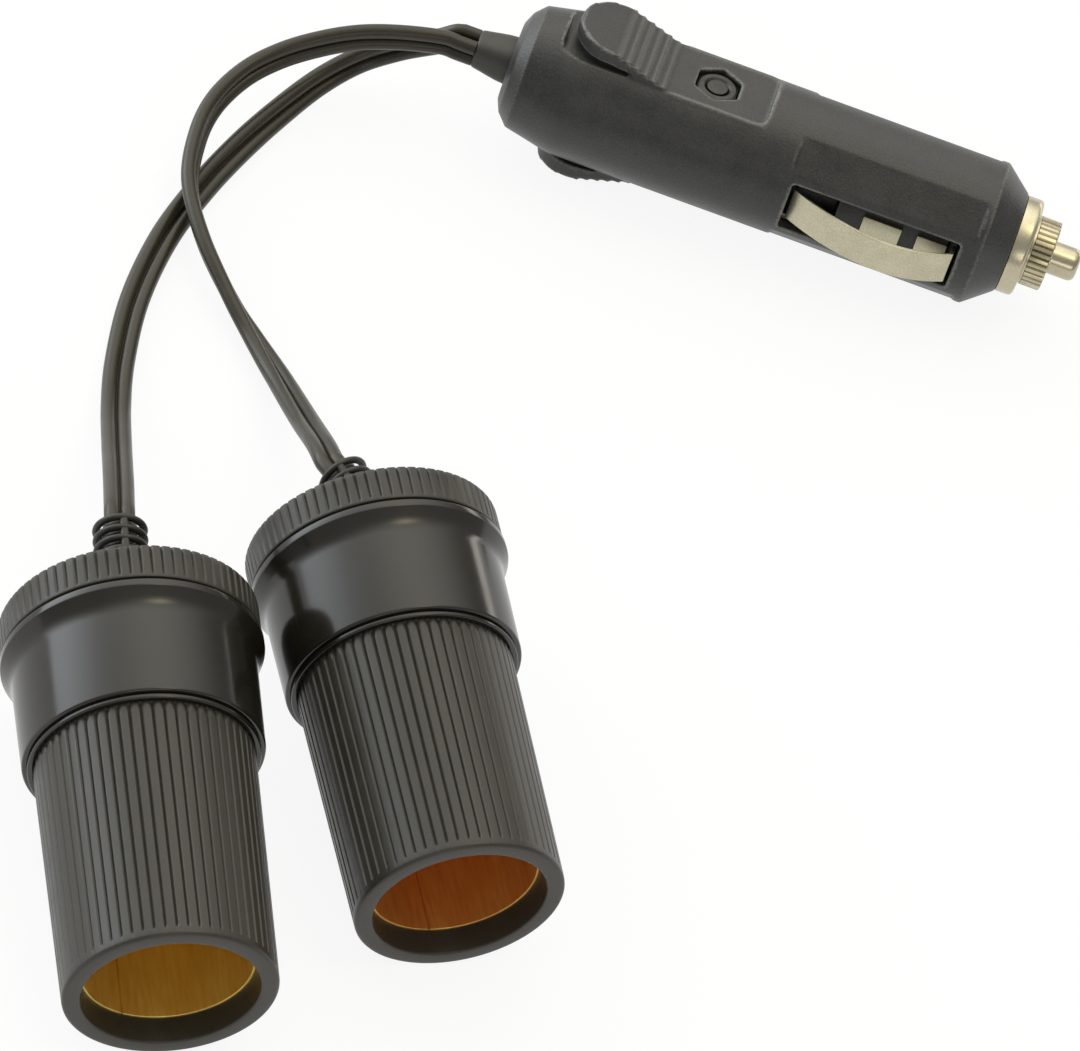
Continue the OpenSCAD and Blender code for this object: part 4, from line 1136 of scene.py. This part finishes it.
def seen_white(name, colour, share):
    """Floor paint that a camera and mirrors see nearly white, with the object's soft shadow kept."""
    made = bpy.data.materials.new(name)
    made.use_nodes = True
    tree = made.node_tree
    tree.nodes.clear()
    rays = ("Is Camera Ray", "Is Glossy Ray", "Is Transmission Ray")
    rays = [add(tree, "ShaderNodeLightPath", out=label) for label in rays]
    seen = (rays[0] + rays[1] + rays[2]).clamped() * share
    plain = add(tree, "ShaderNodeBsdfDiffuse", {"Color": (*colour, 1)})
    white = add(tree, "ShaderNodeEmission", {"Color": (1, 1, 1, 1), "Strength": 1.0})
    add_output(tree, add(tree, "ShaderNodeMixShader", [seen, plain, white]))
    return made


FLOOR_HALF = 6.0
floor_mesh = bpy.data.meshes.new("floor")
corners = [(FLOOR_HALF * x, FLOOR_HALF * y, 0) for x, y in ((-1, -1), (1, -1), (1, 1), (-1, 1))]
floor_mesh.from_pydata(corners, [], [(0, 1, 2, 3)])
floor = bpy.data.objects.new("floor", floor_mesh)
bpy.context.scene.collection.objects.link(floor)
floor_mesh.materials.append(seen_white("floor_white", (0.86, 0.86, 0.86), 0.9))

# Soft patches of the sky: direction, focus, level and colour of the light above and behind the
# object, of the low one on its left and of the warm one that glints in the hollows at the collars
SKY_LIGHTS = (
    ((-0.1, 0.52, 0.85), 4.0, 1.85, (1.0, 0.965, 0.88)),
    ((-0.93, 0.3, 0.2), 8.0, 4.2, (0.9, 0.96, 1.0)),
    ((0.27, 0.0, 0.96), 70.0, 4.5, (1.0, 0.86, 0.55)),
)
# Dark corner of the room at the back right: direction, focus and share of the sky that it takes away
DARK_CORNER = ((0.44, 0.84, 0.3), 16.0, -0.9)

world = bpy.data.worlds.new("studio")
bpy.context.scene.world = world
world.use_nodes = True
tree = world.node_tree
tree.nodes.clear()
direction = add(tree, "ShaderNodeTexCoord", out=0)
height = add(tree, "ShaderNodeSeparateXYZ", [direction], out=2)
sky = add(
    tree, "ShaderNodeValToRGB", [height.math("ABSOLUTE")],
    stops=[(0.0, (0.4, 0.4, 0.4)), (0.3, (0.42, 0.42, 0.42)), (1.0, (0.46, 0.46, 0.45))],
)


def lobe(way, focus, level):
    """Soft patch of the sky about a direction."""
    toward = add(tree, "ShaderNodeVectorMath", [direction, way], out=1, operation="DOT_PRODUCT")
    return toward.math("MAXIMUM", 0.0).math("POWER", focus).math("MULTIPLY", level)


def tinted(colour, strength):
    """Colour times a number."""
    return add(tree, "ShaderNodeVectorMath", {0: colour, "Scale": strength}, operation="SCALE")


sky = tinted(sky, lobe(*DARK_CORNER) + 1.0)
for way, focus, level, colour in SKY_LIGHTS:
    sky = add(tree, "ShaderNodeVectorMath", [sky, tinted(colour, lobe(way, focus, level))], operation="ADD")
seen = [add(tree, "ShaderNodeLightPath", out=label) for label in ("Is Camera Ray", "Is Transmission Ray")]
seen = (seen[0] + seen[1]).clamped()
lit = add(tree, "ShaderNodeBackground", {"Color": sky, "Strength": 1.0})
white = add(tree, "ShaderNodeBackground", {"Color": (1, 1, 1, 1), "Strength": 1.0})
both = add(tree, "ShaderNodeMixShader", [seen, lit, white])
world_output = tree.nodes.new("ShaderNodeOutputWorld")
tree.links.new(both.socket, world_output.inputs["Surface"])


def softbox(name, place, target, size, power, colour):
    """Rectangular lamp in metres and watts, unseen by the camera."""
    lamp = bpy.data.lights.new(name, "AREA")
    lamp.shape = "RECTANGLE"
    lamp.size, lamp.size_y = size
    lamp.energy = power
    lamp.color = colour
    made = bpy.data.objects.new(name, lamp)
    bpy.context.scene.collection.objects.link(made)
    made.visible_camera = False
    look = (Vector(target) - Vector(place)).normalized()
    made.matrix_world = Matrix.Translation(place) @ look.to_track_quat("-Z", "Y").to_matrix().to_4x4()


softbox(
    "right_softbox", place=(0.46, 0.86, 0.09), target=(0, 0, 0), size=(0.6, 0.14), power=0.8,
    colour=(1.0, 0.94, 0.86),
)
softbox(
    "front_softbox", place=(0.35, -0.9, 0.4), target=(0, -0.08, 0), size=(0.5, 0.3), power=0.9,
    colour=(1.0, 0.95, 0.85),
)
